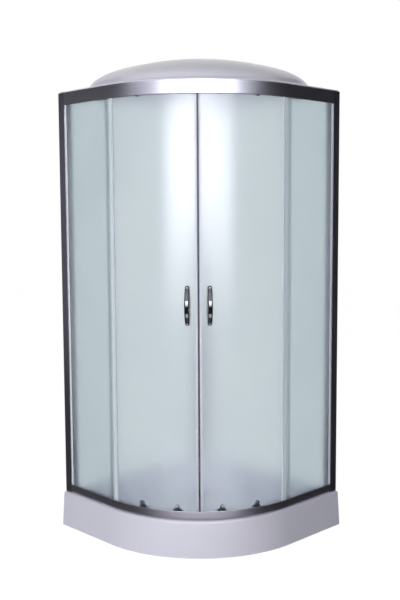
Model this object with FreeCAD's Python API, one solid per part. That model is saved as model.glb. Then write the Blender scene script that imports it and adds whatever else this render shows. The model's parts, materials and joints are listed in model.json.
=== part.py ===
"""Quadrant shower enclosure, 900 mm square with a curved front, on a low tray under a domed roof.

Every length is in millimetres and every angle in degrees. The pieces are drawn from the rear
corner of the enclosure: back wall A runs along +X at y = 0, back wall B along -Y at x = 0, and
the curved front faces (+X, -Y). Before export they are shifted so that the origin lies on the
floor under the middle of the tray. +Z is up.

An inset is a distance in from the tray's outline at the floor, square to its front. A seam
angle is measured about the vertical axis of the curved front, from the line where the two
doors meet. Pieces of the right-hand side are drawn, and mirrored for the left-hand side.
"""
import FreeCAD
import Part
import math
import os

Vec = FreeCAD.Vector

# ---------------------------------------------------------------- driving dimensions
# Tray
TRAY_SIDE = 900.0           # along each back wall, at the floor
CORNER_RADIUS = 550.0       # curved front, at the floor
TRAY_HEIGHT = 155.0
TRAY_SKIN = 5.0
APRON_FLARE = 11.0          # how far the apron leans out from rim to floor
RIM_ROUND = 10.0
RIM_LEDGE = 8.0             # rim left bare between the bottom rail and the basin
REAR_LEDGE = 42.0           # rim along the back walls
BASIN_DEPTH = 85.0
BASIN_DRAFT = 26.0          # the basin is this much smaller all round at its floor
BASIN_CORNER = 70.0
SKIRT_OPENING_HEIGHT = 95.0   # access behind the tray, above the floor
SKIRT_OPENING_MARGIN = 40.0

# Frame of aluminium sections
FRAME_HEIGHT = 1800.0       # from tray rim to the top of the header
FRAME_INSET = 22.0
RAIL_DEPTH = 58.0
RAIL_WALL = 2.2
BOTTOM_RAIL_HEIGHT = 38.0
BOTTOM_LIP_HEIGHT = 17.0
HEADER_HEIGHT = 55.0
HEADER_SKIRT_TOP_GAP = 16.0   # the header's inner wall starts this far above its lower edge
POST_SIZE = 42.0
POST_WALL = 2.0
POST_CHANNEL_DEPTH = 12.0
POST_CHANNEL_WIDTH = 8.0

# Glass
GLASS = 4.0
PANE_INSET = 28.0           # outer face of the fixed panes
PANE_PAST_CURVE = 19.0      # a fixed pane runs this far past the start of the curve
CHANNEL_PLAY = 2.0          # between a pane's edge and the bottom of its channel
PANE_RIB_INSET = 36.0
PANE_RIB = 1.8
PANE_RIB_HEIGHT = 18.0
DOOR_INSET = 40.0           # outer face of the curved doors
DOOR_END_ANGLE = 49.3       # seam angle of a closed door's trailing edge
DOOR_EDGE_GAP = 4.5         # from the seam to the glass edge
DOOR_BOTTOM_UNDER_RAIL_TOP = 9.0
DOOR_TOP_OVER_HEADER_EDGE = 14.0
WALL_PANEL = 4.0
WALL_PANEL_INSET = 6.0      # outer face of a back panel, from the room's wall

# Running gear
DOOR_TRAVEL_ANGLE = 28.0
CARRIER_ANGLES = (10.8, 29.0)
CARRIER_PLATE = 7.3
CARRIER_GAP = 0.4           # between a carrier and the glass
FIXING_FROM_EDGE = 11.0     # top carrier fixing, from the glass edge
FIXING_TO_AXLE = 12.0
GUIDE_FROM_EDGE = 25.0      # bottom guide fixing, from the glass edge
GUIDE_TO_AXLE = 26.0
APEX_RADIUS = 6.0
SHOULDER_RADIUS = 5.0
WHEEL_RADIUS = 9.0
WHEEL_WIDTH = 7.0
WHEEL_PITCH = 21.0          # between the two wheels of a carrier
GROOVE_DEPTH = 1.5
GROOVE_WIDTH = 3.4
AXLE_RADIUS = 2.0
AXLE_HEAD_RADIUS = 3.2
AXLE_HEAD = 1.3
AXLE_CLEARANCE = 0.2
SIDE_CLEARANCE = 0.3
RAIL_RIB = 2.4
RIB_CLEARANCE = 0.1         # wheel groove to rail rib
FLANGE_CLEARANCE = 0.8      # wheel flange to track shelf
SHELF = 2.0
SHELF_CLEARANCE = 0.7       # carrier plate to the edge of the track shelf
TRACK_END_ANGLE = 61.5
STOP_ANGLE = 1.1
STOP_HEIGHT = 8.0
STOP_CLEARANCE = 0.06       # seam angle between an open door's last wheel and its stop
CRADLE_TRAVEL = 6.0         # a bottom wheel cradle lifts this far against its spring
CRADLE_PLATE = 3.6
PIN_RADIUS = 3.0
PIN_HEAD_RADIUS = 4.5
PIN_HEAD = 0.8
PIN_CLEARANCE = 0.2
GUIDE_RADIUS = 6.0

# Bolts through the door glass
GLASS_HOLE_RADIUS = 4.3
BOLT_RADIUS = 3.9
BOLT_SOCKET_CLEARANCE = 0.1
BOLT_ENGAGEMENT = 2.2
CAP_RADIUS = 5.5
CAP = 2.5
CAP_GAP = 0.15

# Handles
HANDLE_FROM_SEAM = 46.0
HANDLE_HEIGHT = 1050.0      # middle of the handle, above the floor
HANDLE_LENGTH = 164.0
HANDLE_WIDTH = 19.0
HANDLE_REACH = 34.0
HANDLE_THICKNESS = 12.0
HANDLE_FOOT = 20.0
HANDLE_GAP = 0.2
HANDLE_SOCKET_DEPTH = 8.0

# Seals
SEAL_SKIN = 1.4
SEAL_GAP = 0.1
GASKET_COVER = 8.0          # white gasket leg that shows beside a post
GASKET_BACK = 2.0
PANE_SEAL_COVER = 20.0
PANE_SEAL_BACK = 12.0
PANE_SEAL_WEB_GAP = 0.3
PANE_FIN_SETBACK = 7.0
PANE_FIN_TIP_GAP = 0.4
PANE_FIN_CUTBACK = 12.0     # the fin stops short of the roller fixings
MAGNET_GAP = 0.25           # from the seam to a magnet strip
MAGNET_DEPTH = 2.75
MAGNET_THICKNESS = 5.0
MAGNET_SEAL_COVER = 8.0
TRAIL_SEAL_COVER = 9.0
TRAIL_FIN = 5.2

# Roof
ROOF_INSET = 30.0
ROOF_WALL_INSET = 3.0
ROOF_FLANGE = 6.0
ROOF_SKIN = 4.0
DOME_RISE = 132.0
DOME_INSET = 50.0
DOME_CORNER = 200.0
DOME_CENTRE = 430.0         # middle of the dome, from each back wall
DOME_TOP_ANGLE = 87.0       # up the dome's quarter ellipse, where its flat crown starts
DOME_BANDS = 12
DOME_HOLLOW_BANDS = 6

# Screws
SCREW_RADIUS = 1.9
SCREW_HEAD_RADIUS = 3.6
SCREW_HEAD = 2.4
SCREW_LENGTH = 13.0
SCREW_HOLE_CLEARANCE = 0.3
SCREW_PILOT_CLEARANCE = 0.1
RAIL_SCREW_INSET = 69.0
ROOF_SCREW_INSET = 44.0
SCREW_SEAM_ANGLE = 25.0
SCREW_FROM_POST = 50.0

# Waste and supporting frame
WASTE_AT = 300.0            # from each back wall
WASTE_HOLE_RADIUS = 45.0
WASTE_FLANGE_RADIUS = 56.0
WASTE_FLANGE = 2.5
TRAP_RADIUS = 50.0
TRAP_SKIN = 3.0
TRAP_BOTTOM = 10.0
TRAP_NECK_CLEARANCE = 1.0
TRAP_TOP_GAP = 1.5          # between the bowl and the tray's underside
OUTLET_RADIUS = 20.0
OUTLET_BORE_RADIUS = 17.5
OUTLET_HEIGHT = 34.0
OUTLET_COLLAR_RADIUS = 23.5
OUTLET_COLLAR = 4.0         # shoulder that a pushed-on waste pipe meets, beyond the bowl
OUTLET_END = 25.0           # from the room's wall
COVER_RADIUS = 55.0
COVER_RISE = 5.0
COVER_EDGE = 1.6
COVER_LUG_HEIGHT = 3.2
COVER_LUG_RADIUS = 47.0
COVER_LUG = 5.0
COVER_CLEARANCE = 0.3
COVER_STEM_RADIUS = 6.0
COVER_STEM_LENGTH = 26.0
BEAM = 25.0
BEAM_WALL = 2.0
BEAM_FROM_WALL = 150.0      # first beam
BEAM_SPACING = 450.0
BEAM_REAR_END = 60.0
BEAM_FRONT_GAP = 45.0       # beams stop this far inside the apron
CROSS_BEAM_AT = 560.0
FOOT_REAR = 100.0
FOOT_FROM_FRONT = 150.0     # front feet, behind the tray's outline at the shorter beam
PAD_RADIUS = 25.0
PAD_HEIGHT = 8.0
STUD_RADIUS = 6.0
STUD_CLEARANCE = 0.3
NUT_ACROSS_FLATS = 19.0
NUT_HEIGHT = 8.0
NUT_GAP = 0.3

# ---------------------------------------------------------------- derived places
ARC_CENTRE = TRAY_SIDE - CORNER_RADIUS          # from each back wall
RIM = TRAY_HEIGHT
FRAME_TOP = RIM + FRAME_HEIGHT
BOTTOM_RAIL_TOP = RIM + BOTTOM_RAIL_HEIGHT
HEADER_BOTTOM = FRAME_TOP - HEADER_HEIGHT
RAIL_BACK = FRAME_INSET + RAIL_DEPTH
BASIN_INSET = RAIL_BACK + RIM_LEDGE
BASIN_FLOOR = RIM - BASIN_DEPTH
PANE_MIDDLE = PANE_INSET + GLASS / 2
WALL_PANEL_MIDDLE = WALL_PANEL_INSET + WALL_PANEL / 2
PANE_END = ARC_CENTRE + PANE_PAST_CURVE         # free edge of a fixed pane, from the back wall
DOOR_OUTER = CORNER_RADIUS - DOOR_INSET
DOOR_INNER = DOOR_OUTER - GLASS
DOOR_BOTTOM = BOTTOM_RAIL_TOP - DOOR_BOTTOM_UNDER_RAIL_TOP
DOOR_TOP = HEADER_BOTTOM + DOOR_TOP_OVER_HEADER_EDGE
CARRIER_OUTER = DOOR_INNER - CARRIER_GAP
CARRIER_INNER = CARRIER_OUTER - CARRIER_PLATE
WHEEL_OUTER = CARRIER_INNER - PIN_HEAD - 2 * PIN_CLEARANCE - SIDE_CLEARANCE / 2
WHEEL_INNER = WHEEL_OUTER - WHEEL_WIDTH
TRACK_RADIUS = (WHEEL_OUTER + WHEEL_INNER) / 2
ROLLING_RADIUS = WHEEL_RADIUS - GROOVE_DEPTH
TOP_FIXING = DOOR_TOP - FIXING_FROM_EDGE
TOP_AXLE = TOP_FIXING + FIXING_TO_AXLE
TOP_RIB_TOP = TOP_AXLE - ROLLING_RADIUS - RIB_CLEARANCE
SHELF_TOP = TOP_AXLE - WHEEL_RADIUS - FLANGE_CLEARANCE
BOTTOM_FIXING = DOOR_BOTTOM + GUIDE_FROM_EDGE
BOTTOM_AXLE = BOTTOM_FIXING - GUIDE_TO_AXLE
BOTTOM_RIB_TOP = BOTTOM_AXLE - ROLLING_RADIUS - RIB_CLEARANCE
HALF_PITCH_ANGLE = math.degrees(math.asin(WHEEL_PITCH / 2 / TRACK_RADIUS))


# ---------------------------------------------------------------- outlines and solids
def line(start, end):
    return Part.LineSegment(start, end).toShape()


def arc(centre, radius, start, end):
    """Arc in a horizontal plane from one angle to another, in degrees."""
    points = []
    for angle in (start, (start + end) / 2, end):
        turn = math.radians(angle)
        points.append(centre + Vec(radius * math.cos(turn), radius * math.sin(turn), 0))
    return Part.Arc(*points).toShape()


def plan(inset, wall, z, front_round=0.0, rear_round=0.0):
    """Closed outline of the enclosure at a height, drawn in from its front and its walls."""
    side = TRAY_SIDE - inset
    hub = Vec(ARC_CENTRE, -ARC_CENTRE, z)
    edges = [line(Vec(wall + rear_round, -wall, z), Vec(side - front_round, -wall, z))]
    if front_round:
        edges.append(arc(Vec(side - front_round, -wall - front_round, z), front_round, 90, 0))
    edges.append(line(Vec(side, -wall - front_round, z), Vec(side, -ARC_CENTRE, z)))
    edges.append(arc(hub, CORNER_RADIUS - inset, 0, -90))
    edges.append(line(Vec(ARC_CENTRE, -side, z), Vec(wall + front_round, -side, z)))
    if front_round:
        edges.append(arc(Vec(wall + front_round, front_round - side, z), front_round, 270, 180))
    edges.append(line(Vec(wall, front_round - side, z), Vec(wall, -wall - rear_round, z)))
    if rear_round:
        edges.append(arc(Vec(wall + rear_round, -wall - rear_round, z), rear_round, 180, 90))
    return Part.Wire(edges)


def prism(wire, height):
    return Part.Face(wire).extrude(Vec(0, 0, height))


def block(x1, x2, y1, y2, z1, z2):
    return Part.makeBox(x2 - x1, y2 - y1, z2 - z1, Vec(x1, y1, z1))


def pillar(radius, x, y, z1, z2):
    return Part.makeCylinder(radius, z2 - z1, Vec(x, y, z1))


def fuse(first, *others):
    return first.multiFuse(list(others)).removeSplitter()


def front_section(edges, wall):
    """Section in the (inset, height) plane, run along flank A, round the front and along flank B."""
    face = Part.Face(Part.Wire(edges))
    face.rotate(Vec(0, 0, 0), Vec(1, 0, 0), 90)
    face.rotate(Vec(0, 0, 0), Vec(0, 0, 1), 180)
    face.translate(Vec(TRAY_SIDE, -ARC_CENTRE, 0))
    flank = face.extrude(Vec(0, ARC_CENTRE - wall, 0))
    curve = face.revolve(Vec(ARC_CENTRE, -ARC_CENTRE, 0), Vec(0, 0, 1), -90)
    return fuse(curve, flank, mirrored(flank))


def polygon(points):
    """Edges of a closed outline through (inset, height) points."""
    corners = [Vec(x, y, 0) for x, y in points]
    return [line(a, b) for a, b in zip(corners, corners[1:] + corners[:1])]


def mirrored(shape):
    """The same piece on the other side of the line between the two doors."""
    return shape.mirror(Vec(0, 0, 0), Vec(1, 1, 0))


def sector(inner, outer, start, end, z1, z2):
    """Curved bar about the front's axis, between two radii and two seam angles."""
    hub = Vec(ARC_CENTRE, -ARC_CENTRE, z1)

    def corner(radius, angle):
        turn = math.radians(angle - 45)
        return hub + Vec(radius * math.cos(turn), radius * math.sin(turn), 0)

    edges = [arc(hub, outer, start - 45, end - 45), line(corner(outer, end), corner(inner, end)),
             arc(hub, inner, end - 45, start - 45), line(corner(inner, start), corner(outer, start))]
    return prism(Part.Wire(edges), z2 - z1)


def at_seam_angle(shape, angle):
    """A piece drawn with X outward, Y along the front and the front's axis at the origin."""
    placed = shape.copy()
    placed.rotate(Vec(0, 0, 0), Vec(0, 0, 1), angle - 45)
    placed.translate(Vec(ARC_CENTRE, -ARC_CENTRE, 0))
    return placed


def peg(radius, inner, outer, along, z):
    """Round bar pointing outward, drawn for at_seam_angle."""
    return Part.makeCylinder(radius, outer - inner, Vec(inner, along, z), Vec(1, 0, 0))


def rounded_plate(circles, inner, outer):
    """Plate whose outline is a belt round circles (along, height, radius) listed anticlockwise."""
    edges = []
    corners = []
    count = len(circles)
    for number in range(count):
        y1, z1, r1 = circles[number]
        y2, z2, r2 = circles[(number + 1) % count]
        heading = math.atan2(z2 - z1, y2 - y1)
        normal = heading - math.pi / 2 + math.asin((r1 - r2) / math.hypot(y2 - y1, z2 - z1))
        reach = Vec(0, math.cos(normal), math.sin(normal))
        corners.append((Vec(inner, y1, z1) + reach * r1, Vec(inner, y2, z2) + reach * r2, normal))
    for number in range(count):
        y, z, radius = circles[number]
        arrive = corners[number - 1]
        leave = corners[number]
        turn = (leave[2] - arrive[2]) % (2 * math.pi)
        middle = arrive[2] + turn / 2
        crown = Vec(inner, y, z) + Vec(0, math.cos(middle), math.sin(middle)) * radius
        edges.append(Part.Arc(arrive[1], crown, leave[0]).toShape())
        edges.append(line(leave[0], leave[1]))
    return Part.Face(Part.Wire(edges)).extrude(Vec(outer - inner, 0, 0))


def save(name, *solids):
    """Write one node, checking that each piece in it is a single sound solid."""
    pieces = []
    for shape in solids:
        found = shape.Solids
        if len(found) != 1 or not found[0].isValid() or found[0].Volume <= 0:
            raise ValueError(f"{name}: {len(found)} solids where one was meant")
        piece = found[0].copy()
        piece.translate(Vec(-TRAY_SIDE / 2, TRAY_SIDE / 2, 0))
        pieces.append(piece)
    whole = pieces[0] if len(pieces) == 1 else Part.makeCompound(pieces)
    whole.exportStep(f"parts/{name}.step")


# ---------------------------------------------------------------- tray and what carries it
def apron_block(skin):
    """Outside of the tray, or with a skin its hollow underside."""
    top = RIM - skin
    rounding = RIM_ROUND - skin
    lean = APRON_FLARE + skin
    core_inset = BASIN_INSET
    start = top - rounding
    diagonal = rounding * (1 - math.sqrt(0.5))
    edges = [
        line(Vec(skin, 0, 0), Vec(lean, start, 0)),
        Part.Arc(Vec(lean, start, 0), Vec(lean + diagonal, top - diagonal, 0),
                 Vec(lean + rounding, top, 0)).toShape(),
        line(Vec(lean + rounding, top, 0), Vec(core_inset, top, 0)),
        line(Vec(core_inset, top, 0), Vec(core_inset, 0, 0)),
        line(Vec(core_inset, 0, 0), Vec(skin, 0, 0)),
    ]
    core = prism(plan(core_inset, skin, 0), top)
    return fuse(front_section(edges, skin), core)


def basin_block(skin):
    """The basin's inside, or with a skin its outside."""
    rim = plan(BASIN_INSET - skin, REAR_LEDGE - skin, RIM, BASIN_CORNER, BASIN_CORNER)
    shrunk = BASIN_DRAFT - skin
    floor = plan(BASIN_INSET + shrunk, REAR_LEDGE + shrunk, BASIN_FLOOR - skin, BASIN_CORNER, BASIN_CORNER)
    return Part.makeLoft([rim, floor], True, True)


def make_tray():
    shell = apron_block(0).cut(apron_block(TRAY_SKIN))
    low = SKIRT_OPENING_MARGIN
    high = TRAY_SIDE - SKIRT_OPENING_MARGIN
    access = block(low, high, -2 * TRAY_SKIN, TRAY_SKIN, -TRAY_SKIN, SKIRT_OPENING_HEIGHT)
    hole = pillar(WASTE_HOLE_RADIUS, WASTE_AT, -WASTE_AT, BASIN_FLOOR - 2 * TRAY_SKIN, RIM)
    tray = shell.cut(access).cut(mirrored(access))
    tray = tray.fuse(basin_block(TRAY_SKIN)).cut(basin_block(0)).cut(hole)
    for place in rail_screw_places():
        tray = tray.cut(pillar(SCREW_RADIUS + SCREW_PILOT_CLEARANCE, place.x, place.y,
                               RIM - 2 * TRAY_SKIN, RIM + TRAY_SKIN))
    save("tray", tray)


def beam(x1, x2, y1, y2):
    """Square steel tube under the basin floor, open at both ends."""
    top = BASIN_FLOOR - TRAY_SKIN
    tube = block(x1, x2, y1, y2, top - BEAM, top)
    if x2 - x1 > y2 - y1:
        bore = block(x1, x2, y1 + BEAM_WALL, y2 - BEAM_WALL, top - BEAM + BEAM_WALL, top - BEAM_WALL)
    else:
        bore = block(x1 + BEAM_WALL, x2 - BEAM_WALL, y1, y2, top - BEAM + BEAM_WALL, top - BEAM_WALL)
    return tube, bore


def front_reach(x):
    """How far from back wall A the tray's outline lies at a distance from back wall B."""
    if x <= ARC_CENTRE:
        return TRAY_SIDE
    return ARC_CENTRE + math.sqrt(CORNER_RADIUS ** 2 - (x - ARC_CENTRE) ** 2)


def foot_places():
    """Where each levelling foot stands, as distances from back walls B and A."""
    near = BEAM_FROM_WALL
    far = BEAM_FROM_WALL + BEAM_SPACING
    front = front_reach(far) - FOOT_FROM_FRONT
    return ((near, FOOT_REAR), (far, FOOT_REAR), (near, front), (far, front))


def make_tray_frame():
    half = BEAM / 2
    tubes = []
    bores = []
    for x in (BEAM_FROM_WALL, BEAM_FROM_WALL + BEAM_SPACING):
        front = front_reach(x + half) - BEAM_FRONT_GAP
        tube, bore = beam(x - half, x + half, -front, -BEAM_REAR_END)
        tubes.append(tube)
        bores.append(bore)
    right = front_reach(CROSS_BEAM_AT + half) - BEAM_FRONT_GAP
    tube, bore = beam(BEAM_REAR_END, right, -CROSS_BEAM_AT - half, half - CROSS_BEAM_AT)
    frame = fuse(tubes[0], tubes[1], tube)
    for hollow in bores + [bore]:
        frame = frame.cut(hollow)
    underside = BASIN_FLOOR - TRAY_SKIN - BEAM
    for x, y in foot_places():
        frame = frame.cut(pillar(STUD_RADIUS + STUD_CLEARANCE, x, -y, underside - 1, underside + half))
    save("tray_frame", frame)


def make_feet():
    underside = BASIN_FLOOR - TRAY_SKIN - BEAM
    stud_top = underside + BEAM - 2 * BEAM_WALL
    for number, (x, y) in enumerate(foot_places(), 1):
        pad = Part.makeCone(PAD_RADIUS, STUD_RADIUS * 2, PAD_HEIGHT, Vec(x, -y, 0))
        stud = pillar(STUD_RADIUS, x, -y, PAD_HEIGHT / 2, stud_top)
        corner = NUT_ACROSS_FLATS / 2 / math.cos(math.pi / 6)
        nut_top = underside - NUT_GAP
        ring = [Vec(x + corner * math.cos(math.radians(60 * i)), -y + corner * math.sin(math.radians(60 * i)),
                    nut_top - NUT_HEIGHT) for i in range(7)]
        nut = prism(Part.makePolygon(ring), NUT_HEIGHT)
        save(f"levelling_foot_{number}", fuse(pad, stud, nut))


def make_waste():
    x = WASTE_AT
    y = -WASTE_AT
    under = BASIN_FLOOR - TRAY_SKIN
    bowl_top = under - TRAP_TOP_GAP
    neck = WASTE_HOLE_RADIUS - TRAP_NECK_CLEARANCE
    flange = pillar(WASTE_FLANGE_RADIUS, x, y, BASIN_FLOOR, BASIN_FLOOR + WASTE_FLANGE)
    outer = fuse(flange, pillar(neck, x, y, bowl_top - TRAP_SKIN, BASIN_FLOOR + WASTE_FLANGE),
                 pillar(TRAP_RADIUS, x, y, TRAP_BOTTOM, bowl_top))
    reach = WASTE_AT - OUTLET_END
    outlet = Part.makeCylinder(OUTLET_RADIUS, reach, Vec(x, y, OUTLET_HEIGHT), Vec(0, 1, 0))
    collar = Part.makeCylinder(OUTLET_COLLAR_RADIUS, TRAP_RADIUS + OUTLET_COLLAR,
                               Vec(x, y, OUTLET_HEIGHT), Vec(0, 1, 0))
    bore = Part.makeCylinder(OUTLET_BORE_RADIUS, reach, Vec(x, y, OUTLET_HEIGHT), Vec(0, 1, 0))
    inside = fuse(pillar(TRAP_RADIUS - TRAP_SKIN, x, y, TRAP_BOTTOM + TRAP_SKIN, bowl_top - TRAP_SKIN),
                  pillar(neck - TRAP_SKIN, x, y, bowl_top - TRAP_SKIN, BASIN_FLOOR + WASTE_FLANGE))
    save("waste_trap", fuse(outer, collar, outlet).cut(bore).cut(inside))

    base = BASIN_FLOOR + WASTE_FLANGE + COVER_CLEARANCE + COVER_LUG_HEIGHT
    top = base + COVER_EDGE + COVER_RISE
    ball = (COVER_RADIUS ** 2 + COVER_RISE ** 2) / (2 * COVER_RISE)
    disc = pillar(COVER_RADIUS, x, y, base, top)
    cap = disc.common(Part.makeSphere(ball, Vec(x, y, top - ball), Vec(1, 0, 0)))
    half = COVER_LUG / 2
    pieces = [pillar(COVER_STEM_RADIUS, x, y, base - COVER_STEM_LENGTH, base + COVER_EDGE / 2)]
    for turn in (90, 210, 330):
        lug = block(COVER_LUG_RADIUS - half, COVER_LUG_RADIUS + half, -half, half,
                    base - COVER_LUG_HEIGHT, base + COVER_EDGE / 2)
        lug.rotate(Vec(0, 0, 0), Vec(0, 0, 1), turn)
        lug.translate(Vec(x, y, 0))
        pieces.append(lug)
    save("waste_cover", fuse(cap, *pieces))


# ---------------------------------------------------------------- frame sections
def post_channel(middle):
    """Channel for glass in the face of a post that looks along -X, at a distance from the wall."""
    half = POST_CHANNEL_WIDTH / 2
    return block(0, POST_CHANNEL_DEPTH, -middle - half, -middle + half, RIM, FRAME_TOP)


def make_posts():
    side = TRAY_SIDE - FRAME_INSET
    left = side - POST_SIZE
    post = block(left, side, -POST_SIZE, 0, RIM, FRAME_TOP)
    wall_channel = post_channel(WALL_PANEL_MIDDLE)
    wall_channel.translate(Vec(left, 0, 0))
    half = POST_CHANNEL_WIDTH / 2
    glass_line = TRAY_SIDE - PANE_MIDDLE
    pane_channel = block(glass_line - half, glass_line + half, -POST_SIZE, POST_CHANNEL_DEPTH - POST_SIZE,
                         RIM, FRAME_TOP)
    core = block(left + POST_CHANNEL_DEPTH + POST_WALL, side - POST_WALL,
                 POST_CHANNEL_DEPTH + POST_WALL - POST_SIZE, -POST_WALL, RIM, FRAME_TOP)
    post = post.cut(wall_channel).cut(pane_channel).cut(core)
    save("wall_post_right", post)
    save("wall_post_left", mirrored(post))

    corner = block(0, POST_SIZE, -POST_SIZE, 0, RIM, FRAME_TOP)
    channel = post_channel(WALL_PANEL_MIDDLE)
    channel.translate(Vec(POST_SIZE - POST_CHANNEL_DEPTH, 0, 0))
    inner = POST_SIZE - POST_CHANNEL_DEPTH - POST_WALL
    core = block(POST_WALL, inner, -inner, -POST_WALL, RIM, FRAME_TOP)
    save("corner_post", corner.cut(channel).cut(mirrored(channel)).cut(core))


def track_bar(outer, z1, z2):
    """Part of a rail inside a circle about the front's axis, as far as the doors' wheels run."""
    wide = sector(outer - RAIL_DEPTH, outer, -TRACK_END_ANGLE, TRACK_END_ANGLE, z1, z2)
    limit = front_section(polygon([(FRAME_INSET, z1), (RAIL_BACK, z1), (RAIL_BACK, z2), (FRAME_INSET, z2)]),
                          POST_SIZE)
    return wide.common(limit)


def make_header():
    low = HEADER_BOTTOM
    top = FRAME_TOP
    roof_line = top - RAIL_WALL
    skirt = low + HEADER_SKIRT_TOP_GAP
    rib_bottom = roof_line - PANE_RIB_HEIGHT
    section = polygon([
        (FRAME_INSET, low), (FRAME_INSET + RAIL_WALL, low), (FRAME_INSET + RAIL_WALL, roof_line),
        (PANE_RIB_INSET, roof_line), (PANE_RIB_INSET, rib_bottom), (PANE_RIB_INSET + PANE_RIB, rib_bottom),
        (PANE_RIB_INSET + PANE_RIB, roof_line), (RAIL_BACK - RAIL_WALL, roof_line),
        (RAIL_BACK - RAIL_WALL, skirt), (RAIL_BACK, skirt), (RAIL_BACK, top), (FRAME_INSET, top)])
    rail = front_section(section, POST_SIZE)
    shelf_low = SHELF_TOP - SHELF
    shelf = track_bar(CARRIER_INNER - SHELF_CLEARANCE, shelf_low, SHELF_TOP)
    web_section = polygon([(RAIL_BACK - RAIL_WALL, shelf_low), (RAIL_BACK, shelf_low),
                           (RAIL_BACK, skirt), (RAIL_BACK - RAIL_WALL, skirt)])
    reach = sector(DOOR_INNER - RAIL_DEPTH * 2, DOOR_INNER, -TRACK_END_ANGLE, TRACK_END_ANGLE,
                   shelf_low, skirt)
    web = front_section(web_section, POST_SIZE).common(reach)
    half = RAIL_RIB / 2
    rib = sector(TRACK_RADIUS - half, TRACK_RADIUS + half, -TRACK_END_ANGLE, TRACK_END_ANGLE,
                 SHELF_TOP, TOP_RIB_TOP)
    header = fuse(rail, web, shelf, rib)
    for place in roof_screw_places():
        header = header.cut(pillar(SCREW_RADIUS + SCREW_HOLE_CLEARANCE, place.x, place.y,
                                   roof_line - RAIL_WALL, top + RAIL_WALL))
    save("header_rail", header)


def make_bottom_rail():
    low = RIM
    base = low + RAIL_WALL
    section = polygon([
        (FRAME_INSET, low), (RAIL_BACK, low), (RAIL_BACK, low + BOTTOM_LIP_HEIGHT),
        (RAIL_BACK - RAIL_WALL, low + BOTTOM_LIP_HEIGHT), (RAIL_BACK - RAIL_WALL, base),
        (PANE_RIB_INSET + PANE_RIB, base), (PANE_RIB_INSET + PANE_RIB, base + PANE_RIB_HEIGHT),
        (PANE_RIB_INSET, base + PANE_RIB_HEIGHT), (PANE_RIB_INSET, base),
        (FRAME_INSET + RAIL_WALL, base), (FRAME_INSET + RAIL_WALL, BOTTOM_RAIL_TOP),
        (FRAME_INSET, BOTTOM_RAIL_TOP)])
    half = RAIL_RIB / 2
    rib = sector(TRACK_RADIUS - half, TRACK_RADIUS + half, -TRACK_END_ANGLE, TRACK_END_ANGLE,
                 base, BOTTOM_RIB_TOP)
    rail = fuse(front_section(section, POST_SIZE), rib)
    for place in rail_screw_places():
        rail = rail.cut(pillar(SCREW_RADIUS + SCREW_HOLE_CLEARANCE, place.x, place.y,
                               low - RAIL_WALL, base + RAIL_WALL))
    save("bottom_rail", rail)


def front_places(inset):
    """Five fixing points along the front at an inset: one on each flank and three on the curve."""
    radius = CORNER_RADIUS - inset
    flank = Vec(TRAY_SIDE - inset, -POST_SIZE - SCREW_FROM_POST, 0)
    places = [flank, Vec(-flank.y, -flank.x, 0)]
    for angle in (-SCREW_SEAM_ANGLE, 0.0, SCREW_SEAM_ANGLE):
        turn = math.radians(angle - 45)
        places.append(Vec(ARC_CENTRE + radius * math.cos(turn), radius * math.sin(turn) - ARC_CENTRE, 0))
    return places


def rail_screw_places():
    return front_places(RAIL_SCREW_INSET)


def roof_screw_places():
    return front_places(ROOF_SCREW_INSET)


def screw(place, seat):
    shank = pillar(SCREW_RADIUS, place.x, place.y, seat - SCREW_LENGTH, seat)
    head = Part.makeCone(SCREW_HEAD_RADIUS, SCREW_HEAD_RADIUS - SCREW_HEAD / 2, SCREW_HEAD,
                         Vec(place.x, place.y, seat))
    return fuse(shank, head)


def make_screws():
    seat = RIM + RAIL_WALL
    save("rail_screws", *[screw(place, seat) for place in rail_screw_places()])
    seat = FRAME_TOP + ROOF_FLANGE
    save("roof_screws", *[screw(place, seat) for place in roof_screw_places()])


# ---------------------------------------------------------------- back walls and fixed glass
def make_back_walls():
    start = POST_SIZE - POST_CHANNEL_DEPTH + CHANNEL_PLAY
    end = TRAY_SIDE - FRAME_INSET - POST_SIZE + POST_CHANNEL_DEPTH - CHANNEL_PLAY
    panel = block(start, end, -WALL_PANEL_INSET - WALL_PANEL, -WALL_PANEL_INSET, RIM, FRAME_TOP)
    save("back_wall_right", panel)
    save("back_wall_left", mirrored(panel))


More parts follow.
